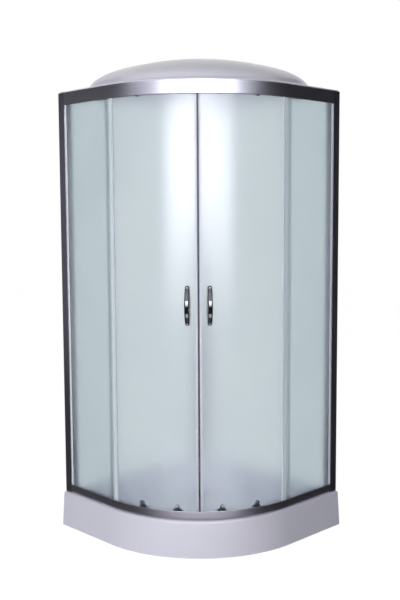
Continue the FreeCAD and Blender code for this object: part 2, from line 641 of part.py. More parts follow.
def make_fixed_panes():
    face = TRAY_SIDE - PANE_INSET
    back = face - GLASS
    hidden_end = POST_SIZE - POST_CHANNEL_DEPTH + CHANNEL_PLAY
    low = RIM + RAIL_WALL
    high = FRAME_TOP - RAIL_WALL - CHANNEL_PLAY
    pane = block(back, face, -PANE_END, -hidden_end, low, high)
    save("fixed_pane_right", pane)
    save("fixed_pane_left", mirrored(pane))

    edge = hidden_end - SEAL_GAP
    outer_leg = block(face + SEAL_GAP, face + SEAL_GAP + SEAL_SKIN, -POST_SIZE - GASKET_COVER,
                      SEAL_SKIN - edge, low, high)
    inner_leg = block(back - SEAL_GAP - SEAL_SKIN, back - SEAL_GAP, -POST_SIZE - GASKET_BACK,
                      SEAL_SKIN - edge, low, high)
    web = block(back - SEAL_GAP - SEAL_SKIN, face + SEAL_GAP + SEAL_SKIN, -edge, SEAL_SKIN - edge, low, high)
    gasket = fuse(outer_leg, inner_leg, web)
    save("pane_gaskets", gasket, mirrored(gasket))

    rail_rib_top = RIM + RAIL_WALL + PANE_RIB_HEIGHT
    header_rib_bottom = FRAME_TOP - RAIL_WALL - PANE_RIB_HEIGHT
    low = rail_rib_top + CHANNEL_PLAY
    high = header_rib_bottom - CHANNEL_PLAY
    end = -PANE_END - PANE_SEAL_WEB_GAP
    outer_leg = block(face + SEAL_GAP, face + SEAL_GAP + SEAL_SKIN, end - SEAL_SKIN,
                      end + PANE_SEAL_COVER, low, high)
    inner_leg = block(back - SEAL_GAP - SEAL_SKIN, back - SEAL_GAP, end - SEAL_SKIN,
                      end + PANE_SEAL_BACK, low, high)
    web = block(back - SEAL_GAP - SEAL_SKIN, face + SEAL_GAP + SEAL_SKIN, end - SEAL_SKIN, end, low, high)
    fin_root = end + PANE_FIN_SETBACK
    fin = block(TRAY_SIDE - DOOR_INSET + PANE_FIN_TIP_GAP, back - SEAL_GAP - SEAL_SKIN / 2,
                fin_root - SEAL_SKIN, fin_root,
                BOTTOM_FIXING + PANE_FIN_CUTBACK, TOP_FIXING - PANE_FIN_CUTBACK)
    seal = fuse(outer_leg, inner_leg, web, fin)
    save("pane_edge_seals", seal, mirrored(seal))


# ---------------------------------------------------------------- roof
def dome(inset, corner, rise, bands):
    """Solid dome in level bands, whose upright sections through its middle follow quarter ellipses."""
    middle = Vec(DOME_CENTRE, -DOME_CENTRE, FRAME_TOP)
    rings = []
    for band in range(bands + 1):
        angle = math.radians(DOME_TOP_ANGLE * band / bands)
        ring = plan(inset, inset, FRAME_TOP, corner, corner)
        ring.scale(math.cos(angle), middle)
        ring.translate(Vec(0, 0, rise * math.sin(angle)))
        rings.append(ring)
    return Part.makeLoft(rings, True, True)


def make_roof():
    flange = prism(plan(ROOF_INSET, ROOF_WALL_INSET, FRAME_TOP), ROOF_FLANGE)
    outer = dome(DOME_INSET, DOME_CORNER, DOME_RISE, DOME_BANDS)
    inner = dome(DOME_INSET + ROOF_SKIN, DOME_CORNER - ROOF_SKIN, DOME_RISE - ROOF_SKIN, DOME_HOLLOW_BANDS)
    roof = flange.fuse(outer).cut(inner)
    for place in roof_screw_places():
        roof = roof.cut(pillar(SCREW_RADIUS + SCREW_HOLE_CLEARANCE, place.x, place.y,
                               FRAME_TOP - 1, FRAME_TOP + ROOF_FLANGE + 1))
    save("roof", roof)


# ---------------------------------------------------------------- doors
def along_glass(distance):
    """Seam angle of a distance measured along the middle of the door glass."""
    return math.degrees(distance / (DOOR_INNER + GLASS / 2))


def handle_angle():
    return along_glass(HANDLE_FROM_SEAM)


def handle_bolt_heights():
    reach = HANDLE_LENGTH / 2 - HANDLE_FOOT / 2
    return (HANDLE_HEIGHT - reach, HANDLE_HEIGHT + reach)


def make_door_glass():
    glass = sector(DOOR_INNER, DOOR_OUTER, along_glass(DOOR_EDGE_GAP), DOOR_END_ANGLE, DOOR_BOTTOM, DOOR_TOP)
    places = [(angle, z) for angle in CARRIER_ANGLES for z in (BOTTOM_FIXING, TOP_FIXING)]
    places += [(handle_angle(), z) for z in handle_bolt_heights()]
    for angle, z in places:
        hole = peg(GLASS_HOLE_RADIUS, DOOR_INNER - GLASS, DOOR_OUTER + GLASS, 0, z)
        glass = glass.cut(at_seam_angle(hole, angle))
    return glass


def clip_on_seal(edge, cover, direction, skin_outer, skin_inner):
    """Legs and web of a seal pushed on to an upright edge of the curved glass."""
    start = edge - direction * along_glass(SEAL_GAP)
    tip = start - direction * along_glass(SEAL_SKIN)
    inner_end = edge + direction * along_glass(cover)
    legs = []
    for inner, outer in ((DOOR_OUTER + SEAL_GAP, skin_outer), (skin_inner, DOOR_INNER - SEAL_GAP)):
        legs.append(sector(inner, outer, min(tip, inner_end), max(tip, inner_end), DOOR_BOTTOM, DOOR_TOP))
    web = sector(skin_inner, skin_outer, min(tip, start), max(tip, start), DOOR_BOTTOM, DOOR_TOP)
    return legs + [web], tip


def make_magnetic_seal():
    outer = DOOR_OUTER + SEAL_GAP + SEAL_SKIN
    inner = DOOR_INNER - SEAL_GAP - SEAL_SKIN
    edge = along_glass(DOOR_EDGE_GAP)
    parts, tip = clip_on_seal(edge, MAGNET_SEAL_COVER, 1, outer, inner)
    middle = DOOR_INNER + GLASS / 2
    half = MAGNET_THICKNESS / 2
    magnet = sector(middle - half, middle + half, along_glass(MAGNET_GAP), tip, DOOR_BOTTOM, DOOR_TOP)
    return fuse(parts[0], parts[1], parts[2], magnet)


def make_trailing_seal():
    outer = DOOR_OUTER + SEAL_GAP + SEAL_SKIN
    inner = DOOR_INNER - SEAL_GAP - SEAL_SKIN
    parts, tip = clip_on_seal(DOOR_END_ANGLE, TRAIL_SEAL_COVER, -1, outer, inner)
    fin = sector(outer, outer + TRAIL_FIN, tip - along_glass(SEAL_SKIN), tip, DOOR_BOTTOM, DOOR_TOP)
    return fuse(parts[0], parts[1], parts[2], fin)


def grip(foot_plane, direction):
    """Bow handle standing off the glass, with rounded ends and sockets for its bolts."""
    half = HANDLE_LENGTH / 2
    inside = half - HANDLE_FOOT
    crown = foot_plane + direction * HANDLE_REACH
    belly = crown - direction * HANDLE_THICKNESS
    start = -HANDLE_WIDTH / 2
    z = HANDLE_HEIGHT
    low_tip, low_heel, high_heel, high_tip = [
        Vec(foot_plane, start, z + rise) for rise in (-half, -inside, inside, half)]
    edges = [
        Part.Arc(low_tip, Vec(crown, start, z), high_tip).toShape(),
        line(high_tip, high_heel),
        Part.Arc(high_heel, Vec(belly, start, z), low_heel).toShape(),
        line(low_heel, low_tip),
    ]
    bow = Part.Face(Part.Wire(edges)).extrude(Vec(0, HANDLE_WIDTH, 0))
    rounding = HANDLE_WIDTH / 2
    outline = rounded_plate([(0, z - half + rounding, rounding), (0, z + half - rounding, rounding)],
                            min(foot_plane, crown) - 1, max(foot_plane, crown) + 1)
    bow = bow.common(outline)
    ends = (foot_plane, foot_plane + direction * HANDLE_SOCKET_DEPTH)
    for height in handle_bolt_heights():
        bow = bow.cut(peg(BOLT_RADIUS + BOLT_SOCKET_CLEARANCE, min(ends), max(ends), 0, height))
    return bow


def make_handle():
    outer = at_seam_angle(grip(DOOR_OUTER + HANDLE_GAP, 1), handle_angle())
    inner = at_seam_angle(grip(DOOR_INNER - HANDLE_GAP, -1), handle_angle())
    return outer, inner


def axle(inner_face, along, z):
    """Stub axle with a spacer at its root and a head that keeps the wheel on."""
    root = peg(AXLE_HEAD_RADIUS, WHEEL_OUTER + SIDE_CLEARANCE, inner_face, along, z)
    head_outer = WHEEL_INNER - SIDE_CLEARANCE
    shaft = peg(AXLE_RADIUS, head_outer - AXLE_HEAD, inner_face, along, z)
    head = peg(AXLE_HEAD_RADIUS, head_outer - AXLE_HEAD, head_outer, along, z)
    return [root, shaft, head]


def axles(inner_face, z):
    """The two axles of a carrier, each pointing at the front's axis."""
    found = []
    for turn in (-HALF_PITCH_ANGLE, HALF_PITCH_ANGLE):
        for shape in axle(inner_face, 0, z):
            shape.rotate(Vec(0, 0, 0), Vec(0, 0, 1), turn)
            found.append(shape)
    return found


def make_top_carrier(angle):
    half = WHEEL_PITCH / 2
    plate = rounded_plate([(0, TOP_FIXING, APEX_RADIUS), (half, TOP_AXLE, SHOULDER_RADIUS),
                           (-half, TOP_AXLE, SHOULDER_RADIUS)], CARRIER_INNER, CARRIER_OUTER)
    body = fuse(plate, *axles(CARRIER_INNER + CARRIER_PLATE / 2, TOP_AXLE))
    socket = peg(BOLT_RADIUS + BOLT_SOCKET_CLEARANCE, CARRIER_OUTER - BOLT_ENGAGEMENT - CAP_GAP,
                 CARRIER_OUTER, 0, TOP_FIXING)
    return at_seam_angle(body.cut(socket), angle)


def make_bottom_guide(angle):
    """Boss bolted to the glass, with the headed pin that its wheel cradle slides on."""
    plane = CARRIER_INNER + CRADLE_PLATE + SIDE_CLEARANCE
    plate = peg(GUIDE_RADIUS, plane, CARRIER_OUTER, 0, BOTTOM_FIXING)
    pin = peg(PIN_RADIUS, CARRIER_INNER - PIN_CLEARANCE, plane, 0, BOTTOM_FIXING)
    head = peg(PIN_HEAD_RADIUS, CARRIER_INNER - PIN_CLEARANCE - PIN_HEAD, CARRIER_INNER - PIN_CLEARANCE,
               0, BOTTOM_FIXING)
    body = fuse(plate, pin, head)
    socket = peg(BOLT_RADIUS + BOLT_SOCKET_CLEARANCE, CARRIER_OUTER - BOLT_ENGAGEMENT - CAP_GAP,
                 CARRIER_OUTER, 0, BOTTOM_FIXING)
    return at_seam_angle(body.cut(socket), angle)


def make_cradle(angle):
    """Wheel cradle with an upright slot, so that it can be lifted against its spring."""
    half = WHEEL_PITCH / 2
    outer = CARRIER_INNER + CRADLE_PLATE
    plate = rounded_plate([(-half, BOTTOM_AXLE, SHOULDER_RADIUS), (half, BOTTOM_AXLE, SHOULDER_RADIUS),
                           (0, BOTTOM_FIXING, APEX_RADIUS)], CARRIER_INNER, outer)
    slot_radius = PIN_RADIUS + PIN_CLEARANCE
    slot = rounded_plate([(0, BOTTOM_FIXING - CRADLE_TRAVEL, slot_radius), (0, BOTTOM_FIXING, slot_radius)],
                         CARRIER_INNER - 1, outer + 1)
    body = fuse(plate.cut(slot), *axles(CARRIER_INNER + CRADLE_PLATE / 2, BOTTOM_AXLE))
    return at_seam_angle(body, angle)


def make_wheel(angle, z):
    """Grooved wheel that rolls on the rail's rib."""
    tyre = peg(WHEEL_RADIUS, WHEEL_INNER, WHEEL_OUTER, 0, z)
    bore = peg(AXLE_RADIUS + AXLE_CLEARANCE, WHEEL_INNER, WHEEL_OUTER, 0, z)
    half = GROOVE_WIDTH / 2
    middle = (WHEEL_INNER + WHEEL_OUTER) / 2
    ring = peg(WHEEL_RADIUS + GROOVE_DEPTH, middle - half, middle + half, 0, z)
    core = peg(ROLLING_RADIUS, middle - half, middle + half, 0, z)
    return at_seam_angle(tyre.cut(ring.cut(core)).cut(bore), angle)


def carrier_bolt(angle, z):
    shank = peg(BOLT_RADIUS, CARRIER_OUTER - BOLT_ENGAGEMENT, DOOR_OUTER + CAP_GAP, 0, z)
    cap = peg(CAP_RADIUS, DOOR_OUTER + CAP_GAP, DOOR_OUTER + CAP_GAP + CAP, 0, z)
    return at_seam_angle(fuse(shank, cap), angle)


def handle_bolt(z):
    reach = HANDLE_SOCKET_DEPTH - 2 * HANDLE_GAP
    return at_seam_angle(peg(BOLT_RADIUS, DOOR_INNER - reach, DOOR_OUTER + reach, 0, z), handle_angle())


def save_pair(name, *solids):
    """The right-hand piece and its mirror image on the left."""
    save(f"{name}_right", *solids)
    save(f"{name}_left", *[mirrored(shape) for shape in solids])


def make_doors():
    save_pair("door_glass", make_door_glass())
    save_pair("magnetic_seal", make_magnetic_seal())
    save_pair("trailing_seal", make_trailing_seal())
    save_pair("handle", *make_handle())
    save_pair("top_carriers", *[make_top_carrier(angle) for angle in CARRIER_ANGLES])
    save_pair("bottom_guides", *[make_bottom_guide(angle) for angle in CARRIER_ANGLES])
    bolts = [carrier_bolt(angle, z) for angle in CARRIER_ANGLES for z in (BOTTOM_FIXING, TOP_FIXING)]
    save_pair("door_bolts", *bolts, *[handle_bolt(z) for z in handle_bolt_heights()])
    for place, angle in zip(("front", "rear"), CARRIER_ANGLES):
        save_pair(f"{place}_cradle", make_cradle(angle))
        for level, z in (("top", TOP_AXLE), ("bottom", BOTTOM_AXLE)):
            for number, turn in enumerate((-HALF_PITCH_ANGLE, HALF_PITCH_ANGLE), 1):
                save_pair(f"{level}_{place}_wheel_{number}", make_wheel(angle + turn, z))


def make_door_stops():
    """Stop on the header's track beyond the last wheel of each fully open door."""
    wheel_reach = math.degrees(math.asin(WHEEL_RADIUS / WHEEL_INNER))
    start = CARRIER_ANGLES[-1] + HALF_PITCH_ANGLE + DOOR_TRAVEL_ANGLE + wheel_reach + STOP_CLEARANCE
    stop = sector(WHEEL_INNER, WHEEL_OUTER, start, start + STOP_ANGLE, SHELF_TOP, SHELF_TOP + STOP_HEIGHT)
    half = RAIL_RIB / 2
    saddle = sector(TRACK_RADIUS - half, TRACK_RADIUS + half, start - STOP_ANGLE, start + 2 * STOP_ANGLE,
                    SHELF_TOP - 1, TOP_RIB_TOP)
    stop = stop.cut(saddle)
    save("door_stops", stop, mirrored(stop))


os.makedirs("parts", exist_ok=True)
make_tray()
make_tray_frame()
make_feet()
make_waste()
make_posts()
make_header()
make_bottom_rail()
make_screws()
make_back_walls()
make_fixed_panes()
make_roof()
make_doors()
make_door_stops()
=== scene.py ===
"""Looks of the quadrant shower enclosure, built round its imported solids.

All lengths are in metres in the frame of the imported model: the floor is z = 0, back wall A lies
at +Y, back wall B at -X, and the curved front faces (+X, -Y). An inset is a distance in from the
tray's outline at the floor, square to its front. A seam angle is measured about the upright axis
of the curved front, from the line where the two doors meet, and grows towards the right.
"""
import json
import math

import bmesh
import bpy
from mathutils import Matrix, Vector

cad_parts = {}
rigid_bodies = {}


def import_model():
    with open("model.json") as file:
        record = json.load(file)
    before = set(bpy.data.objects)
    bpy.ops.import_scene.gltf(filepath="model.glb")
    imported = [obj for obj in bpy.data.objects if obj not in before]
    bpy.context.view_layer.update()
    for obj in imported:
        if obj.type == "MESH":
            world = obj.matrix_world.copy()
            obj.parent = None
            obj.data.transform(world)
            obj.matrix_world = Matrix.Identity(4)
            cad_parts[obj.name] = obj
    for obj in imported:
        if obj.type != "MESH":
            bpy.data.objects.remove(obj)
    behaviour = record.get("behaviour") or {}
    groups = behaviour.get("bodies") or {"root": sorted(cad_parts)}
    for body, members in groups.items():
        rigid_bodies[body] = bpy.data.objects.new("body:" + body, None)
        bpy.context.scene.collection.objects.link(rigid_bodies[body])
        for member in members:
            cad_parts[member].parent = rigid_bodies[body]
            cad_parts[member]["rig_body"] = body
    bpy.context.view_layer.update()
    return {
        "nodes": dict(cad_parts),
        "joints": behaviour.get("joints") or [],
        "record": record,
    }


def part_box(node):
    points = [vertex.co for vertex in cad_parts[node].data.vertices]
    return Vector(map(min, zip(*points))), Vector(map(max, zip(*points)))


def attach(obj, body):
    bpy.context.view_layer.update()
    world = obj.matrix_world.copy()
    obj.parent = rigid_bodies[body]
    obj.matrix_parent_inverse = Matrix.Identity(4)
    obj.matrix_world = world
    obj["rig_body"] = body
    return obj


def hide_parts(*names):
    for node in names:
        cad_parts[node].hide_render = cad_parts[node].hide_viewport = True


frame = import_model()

# ---------------------------------------------------------------- sizes taken from the frame
TRAY_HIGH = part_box("tray")[1]
HALF_SIDE = TRAY_HIGH.x
RIM = TRAY_HIGH.z
DOOR_JOINT = next(joint for joint in frame["joints"] if joint["name"] == "door_right_slide")
AXIS = Vector((DOOR_JOINT["pos_m"][0], DOOR_JOINT["pos_m"][1], 0))
HEADER_LOW, HEADER_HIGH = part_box("header_rail")
BOTTOM_RAIL_LOW, BOTTOM_RAIL_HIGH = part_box("bottom_rail")
ROOF_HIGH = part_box("roof")[1]
DOOR_LOW, DOOR_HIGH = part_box("door_glass_right")
DOOR_OUTER = DOOR_HIGH.x - AXIS.x
HANDLE_LOW, HANDLE_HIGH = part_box("handle_right")
TOP_WHEEL_LOW, TOP_WHEEL_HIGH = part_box("top_front_wheel_1_right")
BOTTOM_WHEEL_LOW, BOTTOM_WHEEL_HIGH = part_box("bottom_front_wheel_1_right")
SIDES = (("right", 1), ("left", -1))

# ---------------------------------------------------------------- sizes of the visible forms
FRONT = -45.0               # compass heading of the front, where the doors meet
CURVE_HALF = 45.0           # seam angle where each flank begins
ARC_STEPS = 72              # round the quarter circle of the front
FLANK_STEPS = 4
CORNER_STEPS = 10
HANDLE_RINGS = 32
HANDLE_POINTS = 28
RIM_STEPS = 8
SMALL_STEPS = 4
DOME_STEPS = 22

WELD = 1e-6
SLIVER = 1e-7
FLAT_ANGLE = 1.0            # degrees
EDGE_SHARP = 40.0           # an edge that turns more than this stays sharp
SHELL_SHARP = 50.0
BOW_SHARP = 60.0

TRAY_SKIN = 0.005
APRON_FLARE = 0.011
RIM_ROUND = 0.010
FOOT_ROUND = 0.0015
FOOT_LEAN = 0.0002
WALL_RIM_SHARE = 0.4        # the rim's round along the walls, as a share of the front's
BASIN_INSET = 0.088
REAR_LEDGE = 0.042
BASIN_DEPTH = 0.085
BASIN_DRAFT = 0.026
BASIN_CORNER = 0.070
BASIN_EDGE = 0.006
BASIN_COVE = 0.020
COVE_POINTS = ((0.003, 0.005), (0.014, 0.0))    # past the basin's side, above its floor
FRONT_LEDGE_LOOP = 0.030    # from the basin's edge, on the flat of the rim
REAR_LEDGE_LOOP = 0.020
LEDGE_CORNER = 0.028
WASTE_FROM_WALL = 0.300
WASTE_HOLE = 0.045
SKIRT_OPENING_MARGIN = 0.040
SKIRT_OPENING_HEIGHT = 0.095

DOME_INSET = 0.050
DOME_CORNER = 0.200
DOME_CENTRE = 0.430         # from each back wall
ROOF_FLANGE = 0.006
ROOF_SKIN = 0.004
ROOF_INSET = 0.030
ROOF_WALL_INSET = 0.003
ROOF_EDGE = 0.0015
DOME_FILLET = 0.010
FILLET_POINTS = ((1, 0), (0.35, 0.25))          # shares of the fillet, out and up

RAIL_WALL = 0.0022
RAIL_DEPTH = 0.058
RAIL_EDGE = 0.0011
RAIL_ROLL = 0.009           # round along the bottom rail's lower outer edge
POST_SIZE = 0.042
POST_EDGE = 0.0009
PANE_RIB_FROM_FACE = 0.014
PANE_RIB = 0.0018
PANE_RIB_HEIGHT = 0.018
HEADER_SKIRT_TOP_GAP = 0.016
BOTTOM_LIP_HEIGHT = 0.017
TRACK_END = 61.5            # seam angle
TRACK_RADIUS = 0.49345
TRACK_RIB = 0.0024
TRACK_WALL_GAP = 0.00011    # keeps the track's wall off its rib, near the track's ends
SHELF = 0.002
SHELF_EDGE_RADIUS = 0.4976
FLANGE_CLEARANCE = 0.0008
ROLLING_RADIUS = 0.0076

GLASS = 0.004
GLASS_EDGE = 0.0012
DOOR_EDGE_GAP = 0.0045      # from the seam to the glass edge
DOOR_END = 49.3             # seam angle
SEAL_GAP = 0.0001
SEAL_SKIN = 0.0014
MAGNET_GAP = 0.00025
MAGNET_THICKNESS = 0.005
MAGNET_SEAL_COVER = 0.008
MAGNET_CAP = 0.0006
MAGNET_CAP_COVER = 0.0039   # from the seam
TRAIL_SEAL_COVER = 0.009
TRAIL_FIN = 0.0052

HANDLE_FROM_SEAM = 0.046
HANDLE_WIDTH = 0.0195
HANDLE_REACH = 0.034
HANDLE_THICKNESS = 0.012
HANDLE_FOOT = 0.020
HANDLE_GAP = 0.0002
HANDLE_FULLNESS = 2.5       # exponent of the bow's cross-section, 2 for an ellipse

# ---------------------------------------------------------------- camera
CAMERA_PLACE = (2.8053, -2.7317, 1.4221)
CAMERA_HEADING = 45.745     # degrees about Z, from looking along +Y
CAMERA_TILT = 84.396        # degrees up from looking straight down
CAMERA_ROLL = -0.309        # degrees
CAMERA_LENS = 52.56         # millimetres
CAMERA_SENSOR = 36.0        # millimetres

# ---------------------------------------------------------------- light
WORLD_FILL = 0.16
FLOOR_GLOW = 0.9
FLOOR_WHITE = 1.09          # makes up for the part of the floor that doesn't glow
FLOOR_REACH = 14.0
SEEN_RAYS = ("Is Camera Ray", "Is Glossy Ray", "Is Transmission Ray")

LAMP_DISTANCE = 4.4
LAMP_AIM = Vector((0, 0, 1.1))
SOFTBOXES = (
    # name, degrees off the front, lowest and highest edge, width, watts, shows through glass
    ("front_softbox", -2, 1.4, 3.2, 3.0, 87.0, True),
    ("side_softbox", -38, 0.4, 2.2, 2.0, 60.0, False),
    ("rear_softbox", 180, 1.4, 3.2, 3.0, 40.0, False),
)

BACKDROP_RADIUS = 5.4
BACKDROP_HEIGHTS = (0.0, 2.55, 7.0)
BACKDROP_SPAN = 130         # degrees to each side of the front
BACKDROP_STEP = 5           # degrees
GROUND_RADII = (0.42, 1.15, 1.75, BACKDROP_RADIUS)
GROUND_HEIGHT = 0.002
DIM_SPAN = 40.0             # degrees off the front where the dim tone reaches its ends
NO_RISE = (-0.2, -0.1)      # heights under the floor, so that the strength is even above it
LILAC = (0.92, 0.90, 1.0)
PALE_BLUE = (0.84, 0.88, 1.0)


# ---------------------------------------------------------------- mesh helpers
def new_object(name, mesh, material):
    piece = bpy.data.objects.new(name, mesh)
    bpy.context.scene.collection.objects.link(piece)
    mesh.materials.clear()
    mesh.materials.append(material)
    return piece


def finish_mesh(name, bm, material, sharp=EDGE_SHARP):
    """Weld, face outward, shade smooth except across sharp edges, and make the object."""
    bmesh.ops.remove_doubles(bm, verts=bm.verts, dist=WELD)
    bmesh.ops.dissolve_degenerate(bm, edges=bm.edges, dist=SLIVER)
    bmesh.ops.recalc_face_normals(bm, faces=bm.faces)
    limit = math.radians(sharp)
    for face in bm.faces:
        face.smooth = True
    for edge in bm.edges:
        edge.smooth = len(edge.link_faces) == 2 and edge.calc_face_angle(0.0) < limit
    mesh = bpy.data.meshes.new(name)
    bm.to_mesh(mesh)
    bm.free()
    piece = new_object(name, mesh, material)
    weigh_normals(piece)
    return piece


def weigh_normals(piece):
    """Let the larger faces set the shading, so that a flat beside a rounded edge stays flat."""
    modifier = piece.modifiers.new("normals", "WEIGHTED_NORMAL")
    modifier.weight = 100
    modifier.keep_sharp = True
    apply_modifiers(piece)


def loops_to_mesh(name, loops, material, closed=False, capped=False, sharp=EDGE_SHARP):
    """Skin over a row of closed loops of equal length."""
    bm = bmesh.new()
    rings = [[bm.verts.new(point) for point in loop] for loop in loops]
    count = len(rings[0])
    pairs = list(zip(rings, rings[1:] + ([rings[0]] if closed else [])))
    if not closed:
        pairs = pairs[:len(rings) - 1]
    for first, second in pairs:
        for i in range(count):
            j = (i + 1) % count
            bm.faces.new((first[i], first[j], second[j], second[i]))
    if capped:
        bm.faces.new(rings[0])
        bm.faces.new(rings[-1])
    return finish_mesh(name, bm, material, sharp)


def rounded(corners, steps=3):
    """Closed outline through (a, b, radius) corners, each corner rounded by its radius."""
    outline = []
    count = len(corners)
    for i in range(count):
        a, b, radius = corners[i]
        here = Vector((a, b))
        if radius <= 0:
            outline.append(here)
            continue
        before = (Vector(corners[i - 1][:2]) - here).normalized()
        after = (Vector(corners[(i + 1) % count][:2]) - here).normalized()
        half = math.acos(max(-1.0, min(1.0, before.dot(after)))) / 2
        reach = radius / math.tan(half)
        centre = here + (before + after).normalized() * (radius / math.sin(half))
        start = here + before * reach - centre
        end = here + after * reach - centre
        turn = start.angle_signed(end)
        for step in range(steps + 1):
            spin = Matrix.Rotation(-turn * step / steps, 2)
            outline.append(centre + spin @ start)
    return outline


def front_stations(wall_gap):
    """(base, outward) of each cross-section: along flank A, round the curve, along flank B."""
    far = HALF_SIDE - wall_gap
    stations = []
    for step in range(FLANK_STEPS):
        y = far + (AXIS.y - far) * step / FLANK_STEPS
        stations.append((Vector((AXIS.x, y, 0)), Vector((1, 0, 0))))
    for step in range(ARC_STEPS + 1):
        turn = -math.pi / 2 * step / ARC_STEPS
        stations.append((AXIS.copy(), Vector((math.cos(turn), math.sin(turn), 0))))
    for step in range(1, FLANK_STEPS + 1):
        x = AXIS.x + (-far - AXIS.x) * step / FLANK_STEPS
        stations.append((Vector((x, AXIS.y, 0)), Vector((0, -1, 0))))
    return stations


def seam_direction(angle):
    """Outward direction at a seam angle."""
    turn = math.radians(FRONT + angle)
    return Vector((math.cos(turn), math.sin(turn), 0))


def curve_stations(start, end):
    """The same, between two seam angles on the curve."""
    steps = max(2, round(abs(end - start) / 90 * ARC_STEPS))
    return [(AXIS.copy(), seam_direction(start + (end - start) * step / steps))
            for step in range(steps + 1)]


def swept(name, section, stations, material):
    """Section of (radius, height) points carried along the stations, with closed ends."""
    loops = [[base + outward * radius + Vector((0, 0, height)) for radius, height in section]
             for base, outward in stations]
    return loops_to_mesh(name, loops, material, capped=True)


def plan_loop(inset, wall, z, front_round=0.0, rear_round=0.0):
    """Closed loop of the enclosure's outline, always with the same number of points."""
    side = HALF_SIDE - inset
    back = HALF_SIDE - wall
    points = []

    def corner(cx, cy, radius, start, end, steps):
        for step in range(steps + 1):
            turn = math.radians(start + (end - start) * step / steps)
            points.append(Vector((cx + radius * math.cos(turn), cy + radius * math.sin(turn), z)))

    def straight(x1, y1, x2, y2, steps):
        for step in range(1, steps):
            share = step / steps
            points.append(Vector((x1 + (x2 - x1) * share, y1 + (y2 - y1) * share, z)))

    corner(-back + rear_round, back - rear_round, rear_round, 180, 90, CORNER_STEPS)
    straight(-back + rear_round, back, side - front_round, back, 2 * FLANK_STEPS)
    corner(side - front_round, back - front_round, front_round, 90, 0, CORNER_STEPS)
    straight(side, back - front_round, side, AXIS.y, FLANK_STEPS)
    corner(AXIS.x, AXIS.y, side - AXIS.x, 0, -90, ARC_STEPS)
    straight(AXIS.x, -side, -back + front_round, -side, FLANK_STEPS)
    corner(-back + front_round, -side + front_round, front_round, 270, 180, CORNER_STEPS)
    straight(-back, -side + front_round, -back, back - rear_round, 2 * FLANK_STEPS)
    return points


def arc_points(centre_a, centre_b, radius, start, end, steps):
    """(a, b) points of an arc, in degrees."""
    found = []
    for step in range(steps + 1):
        turn = math.radians(start + (end - start) * step / steps)
        found.append((centre_a + radius * math.cos(turn), centre_b + radius * math.sin(turn)))
    return found


def cut_away(piece, low, high):
    """Cut a box out of a piece."""
    cutter_mesh = bpy.data.meshes.new("cutter")
    bm = bmesh.new()
    bmesh.ops.create_cube(bm, size=1.0)
    size = Vector(high) - Vector(low)
    middle = (Vector(high) + Vector(low)) / 2
    for vert in bm.verts:
        vert.co = Vector((vert.co.x * size.x, vert.co.y * size.y, vert.co.z * size.z)) + middle
    bm.to_mesh(cutter_mesh)
    bm.free()
    cutter = bpy.data.objects.new("cutter", cutter_mesh)
    bpy.context.scene.collection.objects.link(cutter)
    modifier = piece.modifiers.new("cut", "BOOLEAN")
    modifier.object = cutter
    modifier.solver = "EXACT"
    apply_modifiers(piece)
    bpy.data.objects.remove(cutter)


def apply_modifiers(piece):
    depsgraph = bpy.context.evaluated_depsgraph_get()
    done = bpy.data.meshes.new_from_object(piece.evaluated_get(depsgraph))
    piece.modifiers.clear()
    old = piece.data
    piece.data = done
    bpy.data.meshes.remove(old)


def softened(node, width, material):
    """Copy of a CAD node's mesh with its edges rounded, standing for that node."""
    source = frame["nodes"][node]
    bm = bmesh.new()
    bm.from_mesh(source.data)
    bmesh.ops.remove_doubles(bm, verts=bm.verts, dist=WELD)
    bmesh.ops.dissolve_limit(bm, angle_limit=math.radians(FLAT_ANGLE), verts=bm.verts,
                             edges=bm.edges)
    limit = math.radians(EDGE_SHARP)
    edges = [edge for edge in bm.edges
             if len(edge.link_faces) == 2 and edge.calc_face_angle(0.0) > limit]
    bmesh.ops.bevel(bm, geom=edges, offset=width, segments=2, profile=0.5, affect="EDGES",
                    clamp_overlap=True)
    piece = finish_mesh(f"{node}_finished", bm, material)
    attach(piece, source["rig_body"])
    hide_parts(node)
    return piece


